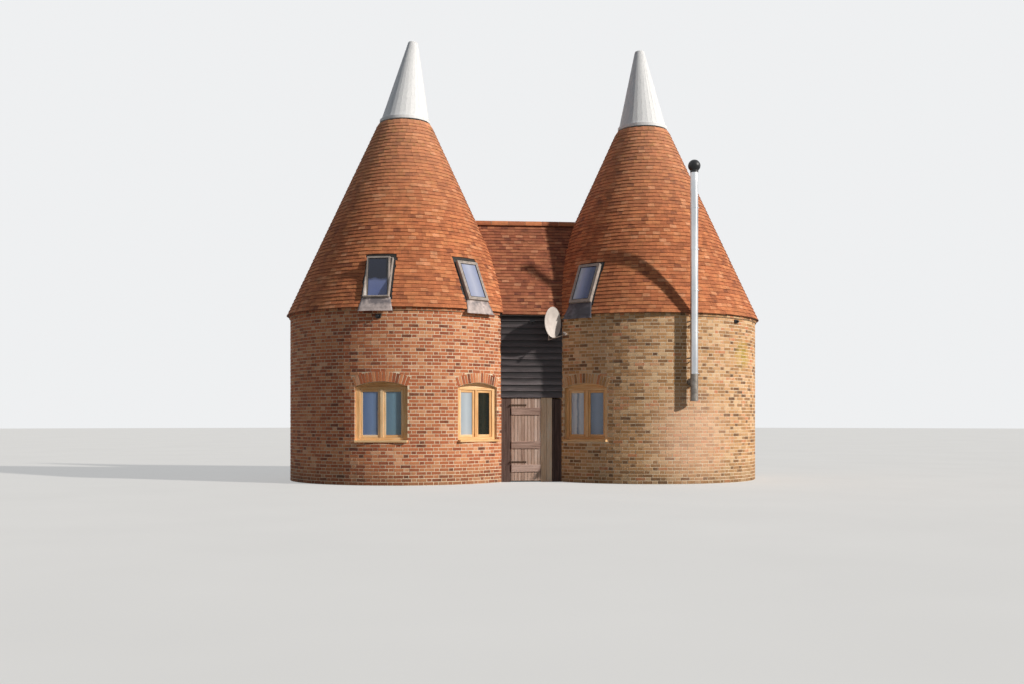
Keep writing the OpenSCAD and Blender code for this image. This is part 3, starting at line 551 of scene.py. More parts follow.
@functools.cache
def block(length, width, height, round_by=0.003):
    """A bar with softened edges, whose fibres run along X."""
    bm = bar(length, width, height)
    soften(bm, bm.edges[:], round_by)
    return shape_of(bm)


def timber(low, high, place=Matrix(), round_by=0.003):
    """A softened bar between two corners, whose fibres run along its longest side."""
    size = [b - a for a, b in zip(low, high)]
    longest = size.index(max(size))
    turns = (Matrix(), rotation(pi / 2, "Z"), rotation(-pi / 2, "Y"))
    order = ((0, 1, 2), (1, 0, 2), (2, 1, 0))[longest]
    middle = Matrix.Translation([(a + b) / 2 for a, b in zip(low, high)])
    shape = block(*(round(size[i], 5) for i in order), round_by)
    return shape, place @ middle @ turns[longest]


def ring(x0, x1, y0, y1, band):
    """Edges of four bars round an opening: left, right, lower and upper, butted at the corners."""
    return [
        (x0, x0 + band, y0, y1),
        (x1 - band, x1, y0, y1),
        (x0 + band, x1 - band, y0, y0 + band),
        (x0 + band, x1 - band, y1 - band, y1),
    ]


def dress(mesh, name, material, body="house", stands_for=()):
    """Makes a mesh a piece of the building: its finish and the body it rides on."""
    piece = bpy.data.objects.new(name, mesh)
    scene.collection.objects.link(piece)
    mesh.materials.append(material)
    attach(piece, body)
    if stands_for:
        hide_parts(*stands_for)
    print(f"{name}: {len(mesh.polygons)} faces")
    return piece


def lay(name, parts, material, body="house", stands_for=()):
    points, grains, tints, loops, starts = [], [], [], [], []
    first = 0
    for shape, place in parts:
        corners, faces = shape
        matrix = np.array(place)
        points.append(corners @ matrix[:3, :3].T + matrix[:3, 3])
        grains.append(corners + [random.uniform(-9, 9) for axis in range(3)])
        tints.append(np.full(len(corners), random.random()))
        for face in faces:
            starts.append(len(loops))
            loops.extend(first + corner for corner in face)
        first += len(corners)
    mesh = bpy.data.meshes.new(name)
    mesh.vertices.add(first)
    mesh.vertices.foreach_set("co", np.concatenate(points).ravel())
    mesh.loops.add(len(loops))
    mesh.loops.foreach_set("vertex_index", loops)
    mesh.polygons.add(len(starts))
    mesh.polygons.foreach_set("loop_start", starts)
    grain = mesh.attributes.new("grain", "FLOAT_VECTOR", "POINT")
    grain.data.foreach_set("vector", np.concatenate(grains).ravel())
    tint = mesh.attributes.new("tint", "FLOAT", "POINT")
    tint.data.foreach_set("value", np.concatenate(tints))
    mesh.update(calc_edges=True)
    mesh.validate()
    mesh.shade_flat()
    return dress(mesh, name, material, body, stands_for)


def smooth(piece, sharpest=35):
    """Shades the piece smoothly but keeps its sharp edges."""
    bm = bmesh.new()
    bm.from_mesh(piece.data)
    for face in bm.faces:
        face.smooth = True
    for edge in bm.edges:
        edge.smooth = len(edge.link_faces) == 2 and edge.calc_face_angle(0) < radians(sharpest)
    bm.to_mesh(piece.data)
    bm.free()


print("a bar has", len(block(1, 0.1, 0.1)[1]), "faces")

# %% [markdown]
# ## Brick walls
#
# The kilns are laid in courses of about 77 mm with headers and stretchers by turns. Flat bricks
# stand round the curve, as a bricklayer sets them, just proud of the frame's wall, which then
# reads as the pale mortar. Courses stop at the windows and at the arches over them.

# %% Sizes of bricks and windows
BRICK_L = 0.215
BRICK_W = 0.1025
BRICK_H = 0.0635
BRICK_DEEP = 0.04
JOINT = 0.0135
COURSE_PITCH = 0.0768
# A brick that is cut to less than this many degrees is left out
LEAST_BRICK = 0.9
PROUD = 0.0025
ARCH_PROUD = 0.006
WIN_W = 1.2
SILL_Z = 0.96
SPRING_Z = 2.21
ARCH_RISE = 0.11
ARCH_RING = 0.225
VOUSSOIR_PITCH = 0.0725
VOUSSOIR_W = 0.063
VOUSSOIR_H = ARCH_RING - 0.008
# Bricks run in by this much past a window's side, and by this much behind its arch bricks
SIDE_LAP = 0.003
ARCH_LAP = 0.012
ARCH_R = (WIN_W**2 / 4 + ARCH_RISE**2) / (2 * ARCH_RISE)
ARCH_Z = SPRING_Z + ARCH_RISE - ARCH_R
ARCH_HALF = asin(WIN_W / 2 / ARCH_R)
INNER_DOOR = SimpleNamespace(bearing=74, w=0.76, top_z=2.05)
# Above this height the link hides the bricks, to this many degrees on each side of its middle
LOFT_Z = 2.6
LINK_SPAN = 33
print("arch radius", round(ARCH_R, 3))


# %% One brick, whose front edges are softened
def brick_shape(width, height):
    bm = bar(width, BRICK_DEEP, height)
    front = [edge for edge in bm.edges if all(v.co.y < 0 for v in edge.verts)]
    soften(bm, front, 0.0025)
    return shape_of(bm)


STRETCHER = brick_shape(BRICK_L, BRICK_H)
VOUSSOIR = brick_shape(VOUSSOIR_W, VOUSSOIR_H)
print("a brick has", len(STRETCHER[1]), "faces")


# %% Where the courses stop
def opening_half_width(z):
    """Half the width that a window and its arch take from a course at this height."""
    if SILL_Z < z < SPRING_Z:
        return WIN_W / 2 - SIDE_LAP
    above = z - ARCH_Z
    if SPRING_Z <= z < ARCH_Z + ARCH_R + ARCH_RING:
        return min(above * tan(ARCH_HALF), sqrt((ARCH_R + ARCH_RING) ** 2 - above**2)) - ARCH_LAP
    return 0


def all_round(spans):
    """The spans and their copies a full turn away, because a bearing may pass 360."""
    return [(a + turn, b + turn) for a, b in spans for turn in (-360, 0, 360)]


def stops_at(kiln, z):
    """Spans of bearing, in degrees, that a course leaves out."""
    spans = []
    half = opening_half_width(z)
    if half > 0:
        reach = degrees(asin(half / KILN_R))
        spans += [(bearing - reach, bearing + reach) for bearing in kiln.windows]
    middle = kiln.toward_link * INNER_DOOR.bearing
    if z < INNER_DOOR.top_z:
        reach = degrees(asin(INNER_DOOR.w / 2 / KILN_R))
        spans.append((middle - reach, middle + reach))
    if z > LOFT_Z:
        side = kiln.toward_link * 90
        spans.append((side - LINK_SPAN, side + LINK_SPAN))
    return all_round(spans)


def cut_by(spans, low, high):
    """What is left of the span from low to high, as a list of spans."""
    left = [(low, high)]
    for a, b in spans:
        kept = []
        for p, q in left:
            kept += [(p, min(q, a))] if p < a else []
            kept += [(max(p, b), q)] if q > b else []
        left = kept
    return left


# %% Lay the kilns' bricks
def brick_at(kiln, low, high, z, out=PROUD):
    width = radians(high - low) * KILN_R - JOINT
    push = out + random.uniform(-0.001, 0.0015)
    z += random.uniform(-1, 1) * 0.0015
    place = on_kiln(kiln, (low + high) / 2) @ shift(0, BRICK_DEEP / 2 - KILN_R - push, z)
    wobble = rotation(radians(random.uniform(-0.5, 0.5)), "Y")
    return STRETCHER, place @ wobble @ Matrix.Diagonal((width / BRICK_L, 1, 1, 1))


def brick_wall(kiln):
    parts = []
    courses = round(kiln.wall_z / COURSE_PITCH)
    pitch = kiln.wall_z / courses
    pairs = round(2 * pi * KILN_R / (BRICK_L + BRICK_W + 2 * JOINT))
    unit = 360 / pairs
    header = unit * (BRICK_W + JOINT) / (BRICK_L + BRICK_W + 2 * JOINT)
    for course in range(courses):
        z = (course + 0.5) * pitch
        spans = stops_at(kiln, z)
        start = course % 2 * unit / 2 + random.uniform(-0.3, 0.3)
        for pair in range(pairs):
            left = start + pair * unit
            for low, high in ((left, left + header), (left + header, left + unit)):
                for p, q in cut_by(spans, low, high):
                    if q - p > LEAST_BRICK:
                        parts.append(brick_at(kiln, p, q, z))
    return parts


def eaves_course(kiln):
    """A course of headers that stands out under the tiles."""
    parts = []
    count = round(2 * pi * (KILN_R + COURSE_OUT) / (BRICK_W + JOINT))
    for k in range(count):
        middle = 360 * k / count
        from_link = abs((middle - kiln.toward_link * 90 + 180) % 360 - 180)
        if from_link > LINK_SPAN + 1:
            half = 180 / count
            z = kiln.wall_z + COURSE_H / 2
            parts.append(brick_at(kiln, middle - half, middle + half, z, COURSE_OUT + PROUD))
    return parts


lay("left_bricks", brick_wall(LEFT) + eaves_course(LEFT), RED_BRICK)
lay("right_bricks", brick_wall(RIGHT) + eaves_course(RIGHT), YELLOW_BRICK)


# %% Arches over the windows
def arch_bricks(kiln):
    parts = []
    count = round(2 * ARCH_HALF * ARCH_R / VOUSSOIR_PITCH)
    middle_r = ARCH_R + ARCH_RING / 2
    for bearing in kiln.windows:
        for k in range(count):
            lean = ARCH_HALF * ((k + 0.5) * 2 / count - 1)
            turn = degrees(asin(middle_r * sin(lean) / KILN_R))
            z = ARCH_Z + middle_r * cos(lean)
            out = shift(0, BRICK_DEEP / 2 - KILN_R - ARCH_PROUD, z)
            parts.append((VOUSSOIR, on_kiln(kiln, bearing + turn) @ out @ rotation(lean, "Y")))
    return parts


lay("left_arch_bricks", arch_bricks(LEFT), RED_BRICK)
lay("right_arch_bricks", arch_bricks(RIGHT), YELLOW_BRICK)

# %% [markdown]
# ## Plain tiles
#
# Plain clay tiles hang in courses of 100 mm, each tail lying on the heads of the tiles below.
# On a cone every course holds fewer tiles than the one under it, so the heads are a little
# narrower than the tails. Tiles stop at the rooflights and where the link's roof hides them.

# %% One tile
TILE_W = 0.168
TILE_L = 0.13
TILE_T = 0.015
TILE_SLIT = 0.0015
GAUGE = 0.1
# How far a tail runs past the line of its course
TAIL_PAST = 0.015
TILE_TILT = rotation(-atan(TILE_T / GAUGE), "X")


@functools.cache
def tile_shape(head_share):
    """A tile whose tail lies at the origin and whose head is narrower."""
    bm = bar(TILE_W - TILE_SLIT, TILE_L, TILE_T)
    bmesh.ops.translate(bm, vec=(0, TILE_L / 2, TILE_T / 2), verts=bm.verts)
    tail = [e for e in bm.edges if all(v.co.y < 1e-6 and v.co.z > 1e-6 for v in e.verts)]
    soften(bm, tail, 0.002)
    bmesh.ops.scale(bm, vec=(head_share, 1, 1), verts=[v for v in bm.verts if v.co.y > TILE_L / 2])
    return shape_of(bm)


def loose(place, width_share=1.0):
    """Tiles never lie quite alike: each is turned and lifted a little."""
    lift = shift(0, random.uniform(-0.005, 0.005), 0.002 + random.uniform(0, 0.004))
    turn = rotation(radians(random.uniform(-0.9, 0.9)), "Z")
    return place @ lift @ TILE_TILT @ turn @ Matrix.Diagonal((width_share, 1, 1, 1))


print("a tile has", len(tile_shape(0.98)[1]), "faces")


# %% Courses of tiles round a cone
LIGHT_W = 0.6
LIGHT_L = 1.02
LIGHT_Z = 4.65
LIGHT_RECESS = 0.05
APRON_HALF = degrees(asin(LIGHT_W / 2 / LEFT.eaves_r)) + 0.5
# How many degrees the tiles run in under an apron's edges
APRON_LAP = 0.7
# What a cone's slope rises for each metre of its length, roughly
RISE = 0.9
# A tile that is cut to less than this share of its width is left out
LEAST_SHARE = 0.2
# Cone tiles further than this below the link's roof are hidden, and left out
ROOF_COVER = 0.12


def slope_to(kiln, z):
    return (z - kiln.eaves_z) / sin(kiln.slope)


def gaps_for_lights(kiln, low, high):
    """Spans of bearing that a course of tiles leaves to the rooflights and their aprons."""
    spans = []
    middle = slope_to(kiln, LIGHT_Z)
    for bearing in kiln.lights:
        if high > middle - LIGHT_L / 2 and low < middle + LIGHT_L / 2 + LIGHT_RECESS:
            r = cone_r(kiln, LIGHT_Z + (low - middle) * RISE)
            half = degrees(asin((LIGHT_W / 2 + LIGHT_RECESS) / r))
            spans.append((bearing - half, bearing + half))
        elif high < middle:
            spans.append((bearing - APRON_HALF + APRON_LAP, bearing + APRON_HALF - APRON_LAP))
    return all_round(spans)


def under_link_roof(kiln, point):
    inward = (point.x - kiln.x) * kiln.toward_link > 0
    roof_z = LINK_RIDGE_Z - abs(point.y) * tan(LINK_PITCH)
    return inward and abs(point.y) < LINK_EAVES_Y and point.z < roof_z - ROOF_COVER


def cone_tiles(kiln):
    parts = []
    length = slope_to(kiln, kiln.top_z)
    courses = round(length / GAUGE)
    for course in range(-1, courses):
        up = min(max(course, 0) * length / courses - TAIL_PAST, length - TILE_L)
        z = kiln.eaves_z + up * sin(kiln.slope)
        r = cone_r(kiln, z)
        count = round(2 * pi * r / TILE_W)
        unit = 360 / count
        head_share = round(1 - TILE_L * cos(kiln.slope) / r, 2)
        start = random.uniform(0, 360)
        spans = gaps_for_lights(kiln, up, up + TILE_L)
        sunk = shift(0, 0, -TILE_T if course < 0 else 0)
        for k in range(count):
            low = start + k * unit
            for p, q in cut_by(spans, low - 360, low + unit - 360):
                place = on_cone(kiln, (p + q) / 2, z)
                if q - p > unit * LEAST_SHARE and not under_link_roof(kiln, place.translation):
                    share = (q - p) / 360 * 2 * pi * r / TILE_W
                    parts.append((tile_shape(head_share), loose(place @ sunk, share)))
    return parts


lay("left_cone_tiles", cone_tiles(LEFT), TILE)
lay("right_cone_tiles", cone_tiles(RIGHT), TILE)


# %% The link's two slopes
# The tiles run this far into the cones
VALLEY_LAP = 0.015
TILES_FROM_X = -2
# A tile that is cut narrower than this is left out
LEAST_STRIP = 0.03


def valley_x(kiln, y, z):
    """Where the link's roof meets a cone."""
    r = cone_r(kiln, z)
    return kiln.x + kiln.toward_link * (sqrt(max(r * r - y * y, 0)) - VALLEY_LAP)


def slope_tiles():
    parts = []
    length = LINK_EAVES_Y / cos(LINK_PITCH)
    courses = round(length / GAUGE)
    for turn in (0, pi):
        for course in range(-1, courses):
            up = max(course, 0) * length / courses - TAIL_PAST
            y = LINK_EAVES_Y - up * cos(LINK_PITCH)
            z = LINK_EAVES_Z + TILE_EDGE + up * sin(LINK_PITCH)
            west, east = valley_x(LEFT, y, z), valley_x(RIGHT, y, z)
            x = TILES_FROM_X + random.uniform(0, TILE_W)
            sunk = -TILE_T if course < 0 else 0
            while x < east:
                low, high = max(x, west), min(x + TILE_W, east)
                if high - low > LEAST_STRIP:
                    middle = (low + high) / 2 * (1 if turn == 0 else -1)
                    place = rotation(turn, "Z") @ shift(middle, -y, z)
                    place = place @ rotation(LINK_PITCH, "X") @ shift(0, 0, sunk)
                    parts.append((tile_shape(1.0), loose(place, (high - low) / TILE_W)))
                x += TILE_W
    return parts


lay("link_tiles", slope_tiles(), LINK_TILE_MOSS_AND_SHADE)

# %% [markdown]
# ## Ridge tiles
#
# Half-round ridge tiles lie 420 mm apart, bedded in mortar. Each is a tube cut in half and given
# its thickness. A slightly smaller half-round of mortar shows in the joints.

# %% Ridge
RIDGE_R = 0.115
RIDGE_SUNK = 0.07
RIDGE_T = 0.018
RIDGE_PITCH = 0.42
RIDGE_COUNT = 6


def half_round(radius, length, thick):
    bm = bmesh.new()
    bmesh.ops.create_cone(bm, segments=40, radius1=radius, radius2=radius, depth=length, cap_ends=False)
    bmesh.ops.rotate(bm, matrix=Matrix.Rotation(pi / 2, 3, "Y"), verts=bm.verts)
    cut(bm, (0, 0, 0), (0, 0, -1), clear=True)
    thicken(bm, bm.faces[:], thick)
    return shape_of(bm)


def ridge_parts(gap, radius):
    tile = half_round(radius, RIDGE_PITCH - gap, RIDGE_T)
    parts = []
    for k in range(RIDGE_COUNT):
        x = (k - (RIDGE_COUNT - 1) / 2) * RIDGE_PITCH
        z = LINK_RIDGE_Z - RIDGE_SUNK + random.uniform(0, 0.004)
        rock = rotation(random.uniform(-0.006, 0.006), "Y")
        parts.append((tile, shift(x, 0, z) @ rock))
    return parts


ridge = ridge_parts(gap=0.012, radius=RIDGE_R + 0.008)
smooth(lay("ridge_tiles_bedded", ridge, TILE, stands_for=["ridge_tiles"]))
smooth(lay("ridge_mortar", ridge_parts(gap=0.0, radius=RIDGE_R + 0.002), MORTAR))

# %% [markdown]
# ## Lead aprons and flashings
#
# Lead sheet carries the water from each rooflight's foot over the tiles and the eaves. Its line
# is drawn once, from the rooflight down to the drip, and spun through a few degrees round the
# kiln's axis. It waves a little over each course, because it is dressed down by hand, and it
# widens towards the eaves.

# %% Aprons
LEAD_T = 0.004
DRIP = 0.09
FLARE = 0.036
APRON_OUT = 0.022
APRON_LIFT = 0.022
APRON_WAVE = 0.006
# The apron widens by this share of its angle, from this far above the eaves, over this height
APRON_SPREAD = 0.22
SPREAD_FROM = 0.25
SPREAD_H = 0.35


def apron_line(kiln):
    """Points in radius and height from the rooflight's foot down over the eaves."""
    foot = slope_to(kiln, LIGHT_Z) - LIGHT_L / 2
    steps = 24
    line = []
    for k in range(steps + 1):
        up = foot * (1 - k / steps) - 0.02 * k / steps
        lift = APRON_LIFT - APRON_WAVE * (up / GAUGE % 1)
        z = kiln.eaves_z + up * sin(kiln.slope) + lift * cos(kiln.slope)
        line.append((cone_r(kiln, z) + APRON_OUT + lift * 0.2, z))
    low_r, low_z = line[-1]
    for share in (0.15, 0.4, 0.7, 0.92, 1.0):
        line.append((low_r + FLARE * (0.25 * share + 0.75 * share**3), low_z - DRIP * share))
    return line


def widen_foot(bm, kiln, bearing):
    """Spreads the newest apron towards the eaves. The points of those before it carry a tag."""
    for v in bm.verts:
        if not v.tag:
            v.tag = True
            low = min(max((kiln.eaves_z + SPREAD_FROM - v.co.z) / SPREAD_H, 0), 1)
            away = atan2(v.co.x, -v.co.y) - radians(bearing)
            away = remainder(away, 2 * pi)
            v.co = Matrix.Rotation(away * APRON_SPREAD * low, 3, "Z") @ v.co


def apron_mesh(kiln, name):
    bm = bmesh.new()
    for bearing in kiln.lights:
        line = [bm.verts.new((0, -r, z)) for r, z in apron_line(kiln)]
        edges = [bm.edges.new(pair) for pair in zip(line, line[1:])]
        half = radians(APRON_HALF)
        start = Matrix.Rotation(radians(bearing) - half, 3, "Z")
        bmesh.ops.rotate(bm, matrix=start, verts=line)
        bmesh.ops.spin(bm, geom=line + edges, cent=(0, 0, 0), axis=(0, 0, 1), angle=2 * half, steps=18)
        widen_foot(bm, kiln, bearing)
    for v in bm.verts:
        ripple = noise.noise(v.co * 9) * 0.003 + noise.noise(v.co * 31) * 0.0012
        v.co += Vector((v.co.x, v.co.y, 0)).normalized() * ripple
    bmesh.ops.recalc_face_normals(bm, faces=bm.faces)
    thicken(bm, bm.faces[:], LEAD_T)
    bmesh.ops.translate(bm, vec=(kiln.x, 0, 0), verts=bm.verts)
    mesh = mesh_of(bm, name)
    mesh.shade_smooth()
    return mesh


dress(apron_mesh(LEFT, "left_aprons"), "left_aprons", LEAD, stands_for=["lead_aprons"])
# The right cone's aprons get the darker lead: painted shade
dress(apron_mesh(RIGHT, "right_aprons"), "right_aprons", LEAD_PAINTED_SHADE)

# %% [markdown]
# ## Rooflights
#
# Each rooflight is a fixed frame clad in grey metal, with a sash that turns about its middle and
# a white lining inside. One sash on the left cone is let out by 18 degrees. Black strips fill
# the slits that the tiles leave at each frame's sides, as painted shade, so a thin dark line
# edges the rooflight.

# %% Rooflights
LIGHT_PROUD = 0.075
LIGHT_FRAME = 0.03
LIGHT_SASH = 0.045
LIGHT_SASH_D = 0.045
LIGHT_OPEN = 18
ROOF_T = 0.15
# How much smaller a sash is than its frame, and how much larger a seal than the sash's opening
SASH_PLAY = 0.006
SEAL_LAP = 0.02
SEAL_W = 0.014
LINING_T = 0.002
SLIT_STRIP_HALF_T = 0.006


def ring_of_bars(place, width, length, band, low, high, round_by=0.004):
    edges = ring(-width / 2, width / 2, -length / 2, length / 2, band)
    return [timber((x0, y0, low), (x1, y1, high), place, round_by) for x0, x1, y0, y1 in edges]


frames, sashes, seals, slit_shade_strips, linings = [], [], [], [], []
for kiln in (LEFT, RIGHT):
    for bearing in kiln.lights:
        at = on_cone(kiln, bearing, LIGHT_Z)
        frames += ring_of_bars(at, LIGHT_W, LIGHT_L, LIGHT_FRAME, -ROOF_T, LIGHT_PROUD)
        room = (LIGHT_W - 2 * LIGHT_FRAME, LIGHT_L - 2 * LIGHT_FRAME)
        linings += ring_of_bars(at, *room, LINING_T, -ROOF_T, LIGHT_PROUD - LIGHT_SASH_D - 0.002, 0.0005)
        opened = radians(LIGHT_OPEN if bearing == VENTED_AT else 0)
        at_sash = at @ shift(0, 0, LIGHT_PROUD - LIGHT_SASH_D / 2) @ rotation(opened, "X")
        sash = (room[0] - SASH_PLAY, room[1] - SASH_PLAY)
        sashes += ring_of_bars(at_sash, *sash, LIGHT_SASH, -LIGHT_SASH_D / 2, LIGHT_SASH_D / 2)
        pane = [side - 2 * LIGHT_SASH + SEAL_LAP for side in sash]
        seals += ring_of_bars(at_sash, *pane, SEAL_W, 0.0, LIGHT_SASH_D / 2 + 0.003, 0.002)
        # Black strips in the slits at the frame's sides: painted shade of the recess
        for side in (-1, 1):
            turn = degrees(side * (LIGHT_W + LIGHT_RECESS) / 2 / cone_r(kiln, LIGHT_Z))
            half = (LIGHT_RECESS / 2, LIGHT_L / 2 + LIGHT_RECESS, SLIT_STRIP_HALF_T)
            slit_shade_strips.append(timber([-h for h in half], half, on_cone(kiln, bearing + turn, LIGHT_Z), 0.002))

lay("rooflight_frames_clad", frames, GREY_METAL, stands_for=["rooflight_frames"])
lay("rooflight_sashes_clad", sashes, GREY_METAL, stands_for=["rooflight_sashes"])
lay("rooflight_seals", seals + slit_shade_strips, BLACK_METAL)
lay("rooflight_linings", linings, LINING)

# %% [markdown]
# ## Boarded link
#
# The link is clad in black weatherboards 150 mm apart. A weatherboard is a wedge: its thick
# lower edge laps over the thin upper edge of the board below and throws a line of shadow.

# %% Weatherboards
BOARD_T = 0.034
BOARD_LAP = 0.02
BOARD_TAPER = 0.028
# The boards run this far into the kilns' walls
WALL_LAP = 0.01


@functools.cache
def weatherboard(length):
    """A wedge-shaped board along X, thick at its foot, whose back lies in the plane y = 0."""
    bm = bar(length, BOARD_T, BOARD_PITCH + BOARD_LAP)
    bmesh.ops.translate(bm, vec=(0, -BOARD_T / 2, (BOARD_PITCH + BOARD_LAP) / 2), verts=bm.verts)
    thin_edge = [v for v in bm.verts if v.co.z > 0.1 and v.co.y < -0.01]
    bmesh.ops.translate(bm, vec=(0, BOARD_TAPER, 0), verts=thin_edge)
    soften(bm, [e for e in bm.edges if all(v.co.z < 0.01 for v in e.verts)], 0.003)
    return shape_of(bm)


def wall_x(kiln, y):
    """Where a plane at a distance from the kilns' middles meets a kiln's wall."""
    return kiln.x + kiln.toward_link * (sqrt(KILN_R**2 - y * y) - WALL_LAP)


def boards(turn, foot_z):
    parts = []
    west, east = wall_x(LEFT, LINK_Y), wall_x(RIGHT, LINK_Y)
    length = east - west
    count = ceil((LINK_EAVES_Z - foot_z) / BOARD_PITCH)
    for k in range(count):
        z = foot_z + k * BOARD_PITCH
        scale = min(1, (LINK_EAVES_Z + 0.01 - z) / BOARD_PITCH)
        place = rotation(turn, "Z") @ shift((east + west) / 2, -LINK_Y - random.uniform(0, 0.002), z)
        sag = rotation(random.uniform(-0.003, 0.003), "Y")
        parts.append((weatherboard(length), place @ sag @ Matrix.Diagonal((1, 1, scale, 1))))
    return parts


lay("front_boards", boards(0, GATE_TOP), BLACK_BOARD)
lay("rear_boards", boards(pi, GATE_TOP % BOARD_PITCH), BLACK_BOARD)

# %% [markdown]
# ## Plank gate
#
# The gate is nailed up from narrow upright planks with three ledges across. Two straps carry
# it on hooks. The screen beside it is of boards and slats with gaps: the pale boards carry
# painted sunlight, and the dark boards, the slats and their backing carry painted shade.

# %% Gate and screen
GATE = SimpleNamespace(x0=-0.485, x1=0.22, foot=0.03, top=1.984, t=0.028)
GATE_Y = -LINK_Y
LEDGES = (0.24, 0.79, 1.58)
LEDGE_H = 0.17
LEDGE_T = 0.022
GATE_PLANKS = 9
LEDGE_SHORT = 0.006
SCREEN = SimpleNamespace(dark_to=-0.491, pale_from=0.226, pale_to=0.487, slats_from=0.49)
NAIL_IN = 0.04


def planks(x0, x1, foot, top, count, gap=0.004, ragged=0.0):
    parts = []
    width = (x1 - x0) / count
    for k in range(count):
        low = (x0 + k * width + gap / 2, GATE_Y + random.uniform(0, 0.003), foot)
        high = (x0 + (k + 1) * width - gap / 2, GATE_Y + GATE.t, top - random.uniform(0, ragged))
        parts.append(timber(low, high))
    return parts


leaf = planks(GATE.x0, GATE.x1, GATE.foot, GATE.top, GATE_PLANKS, 0.007, 0.012)
lay("gate_planks", leaf, PLANK, "gate", ["gate_leaf"])
ledges = []
for z in LEDGES:
    low = (GATE.x0 + LEDGE_SHORT, GATE_Y - LEDGE_T, z)
    ledges.append(timber(low, (GATE.x1 - LEDGE_SHORT, GATE_Y + 0.002, z + LEDGE_H), round_by=0.004))
lay("gate_ledges", ledges, LEDGE_PLANK, "gate")

nail_bm = bmesh.new()
bmesh.ops.create_icosphere(nail_bm, subdivisions=1, radius=0.005)
bmesh.ops.scale(nail_bm, vec=(1, 0.5, 1), verts=nail_bm.verts)
NAIL = shape_of(nail_bm)
nails = []
for z in LEDGES:
    for k in range(GATE_PLANKS):
        for up in (NAIL_IN, LEDGE_H - NAIL_IN):
            x = GATE.x0 + (k + 0.5) * (GATE.x1 - GATE.x0) / GATE_PLANKS
            x += random.uniform(-0.012, 0.012)
            nails.append((NAIL, shift(x, GATE_Y - LEDGE_T - 0.001, z + up)))
lay("gate_nails", nails, RUSTY_IRON, "gate")

west, east = wall_x(LEFT, LINK_Y), wall_x(RIGHT, LINK_Y)
painted_shade_boards = planks(west, SCREEN.dark_to, 0, GATE_TOP - 0.002, 2)
lay("left_screen", painted_shade_boards, PLANK_PAINTED_SHADE, stands_for=["plank_screen"])
pale_boards = planks(SCREEN.pale_from, SCREEN.pale_to, 0, GATE_TOP - 0.002, 2)
lay("pale_screen", pale_boards, PALE_PLANK_PAINTED_SUN)
slats = planks(SCREEN.slats_from, east, 0, GATE_TOP - 0.02, 4, 0.014, 0.03)
lay("right_screen", slats, PLANK_PAINTED_SHADE)
backing = timber((SCREEN.slats_from, GATE_Y + 0.022, 0.0), (east, GATE_Y + 0.03, GATE_TOP - 0.03))
lay("screen_backing", [backing], PLANK_PAINTED_SHADE)

# %% [markdown]
# ## Oak windows
#
# A frame of green oak sits 60 mm back in each opening, with two casements. Every member is its
# own softened bar, so the grain turns where the members meet. A board closes the arch above.

# %% Windows
FRAME_Y = -sqrt(KILN_R**2 - WIN_W**2 / 4) + 0.06
FRAME_D = 0.1
FRAME_Z = SILL_Z + 0.05
JAMB = 0.105
MULLION = 0.07
HEAD = 0.06
STILE = 0.055
CASEMENT_D = 0.055
CASEMENT_PLAY = 0.002
RAIL_INSET = 0.001
LIGHT_CLEAR_W = (WIN_W - 2 * JAMB - MULLION) / 2


def casement(place, middle):
    x0, x1 = middle - LIGHT_CLEAR_W / 2 + CASEMENT_PLAY, middle + LIGHT_CLEAR_W / 2 - CASEMENT_PLAY
    z0, z1 = FRAME_Z + HEAD + CASEMENT_PLAY, SPRING_Z - HEAD - CASEMENT_PLAY
    y0 = FRAME_Y + (FRAME_D - CASEMENT_D) / 2
    y1 = y0 + CASEMENT_D
    insets = (0, 0, RAIL_INSET, RAIL_INSET)
    return [
        timber((a, y0 + inset, c), (b, y1 - inset, d), place, 0.004)
        for inset, (a, b, c, d) in zip(insets, ring(x0, x1, z0, z1, STILE))
    ]


def arch_board():
    bm = bmesh.new()
    bmesh.ops.create_circle(bm, cap_ends=True, segments=220, radius=ARCH_R - 0.002)
    bmesh.ops.rotate(bm, matrix=Matrix.Rotation(pi / 2, 3, "X"), verts=bm.verts)
    bmesh.ops.translate(bm, vec=(0, FRAME_Y + FRAME_D / 4, ARCH_Z), verts=bm.verts)
    cut(bm, (0, 0, SPRING_Z), (0, 0, -1), clear=True)
    made = bmesh.ops.extrude_face_region(bm, geom=bm.faces[:])
    moved = [v for v in made["geom"] if isinstance(v, bmesh.types.BMVert)]
    bmesh.ops.translate(bm, vec=(0, FRAME_D / 2, 0), verts=moved)
    bmesh.ops.recalc_face_normals(bm, faces=bm.faces)
    return shape_of(bm)


ARCH_BOARD = arch_board()
half = WIN_W / 2
back = FRAME_Y + FRAME_D
# Jambs, head, foot and mullion: left, right, front, lower and upper edge of each
members = [
    (-half, -half + JAMB, FRAME_Y, FRAME_Z, SPRING_Z),
    (half - JAMB, half, FRAME_Y, FRAME_Z, SPRING_Z),
    (-half + JAMB, half - JAMB, FRAME_Y + RAIL_INSET, SPRING_Z - HEAD, SPRING_Z),
    (-half + JAMB, half - JAMB, FRAME_Y + RAIL_INSET, FRAME_Z, FRAME_Z + HEAD),
    (-MULLION / 2, MULLION / 2, FRAME_Y + 2 * RAIL_INSET, FRAME_Z + HEAD, SPRING_Z - HEAD),
]
oak, oak_casements = [], []
for kiln in (LEFT, RIGHT):
    for bearing in kiln.windows:
        at = on_kiln(kiln, bearing)
        oak += [timber((x0, y, z0), (x1, back, z1), at, 0.004) for x0, x1, y, z0, z1 in members]
        oak.append(timber((-half, -KILN_R - 0.022, SILL_Z), (half, back, FRAME_Z), at, 0.006))
        oak.append((ARCH_BOARD, at))
        for side in (-1, 1):
            oak_casements += casement(at, side * (MULLION + LIGHT_CLEAR_W) / 2)
lay("oak_frames", oak, OAK, stands_for=["window_frames"])
lay("oak_casements", oak_casements, OAK, stands_for=["casements"])


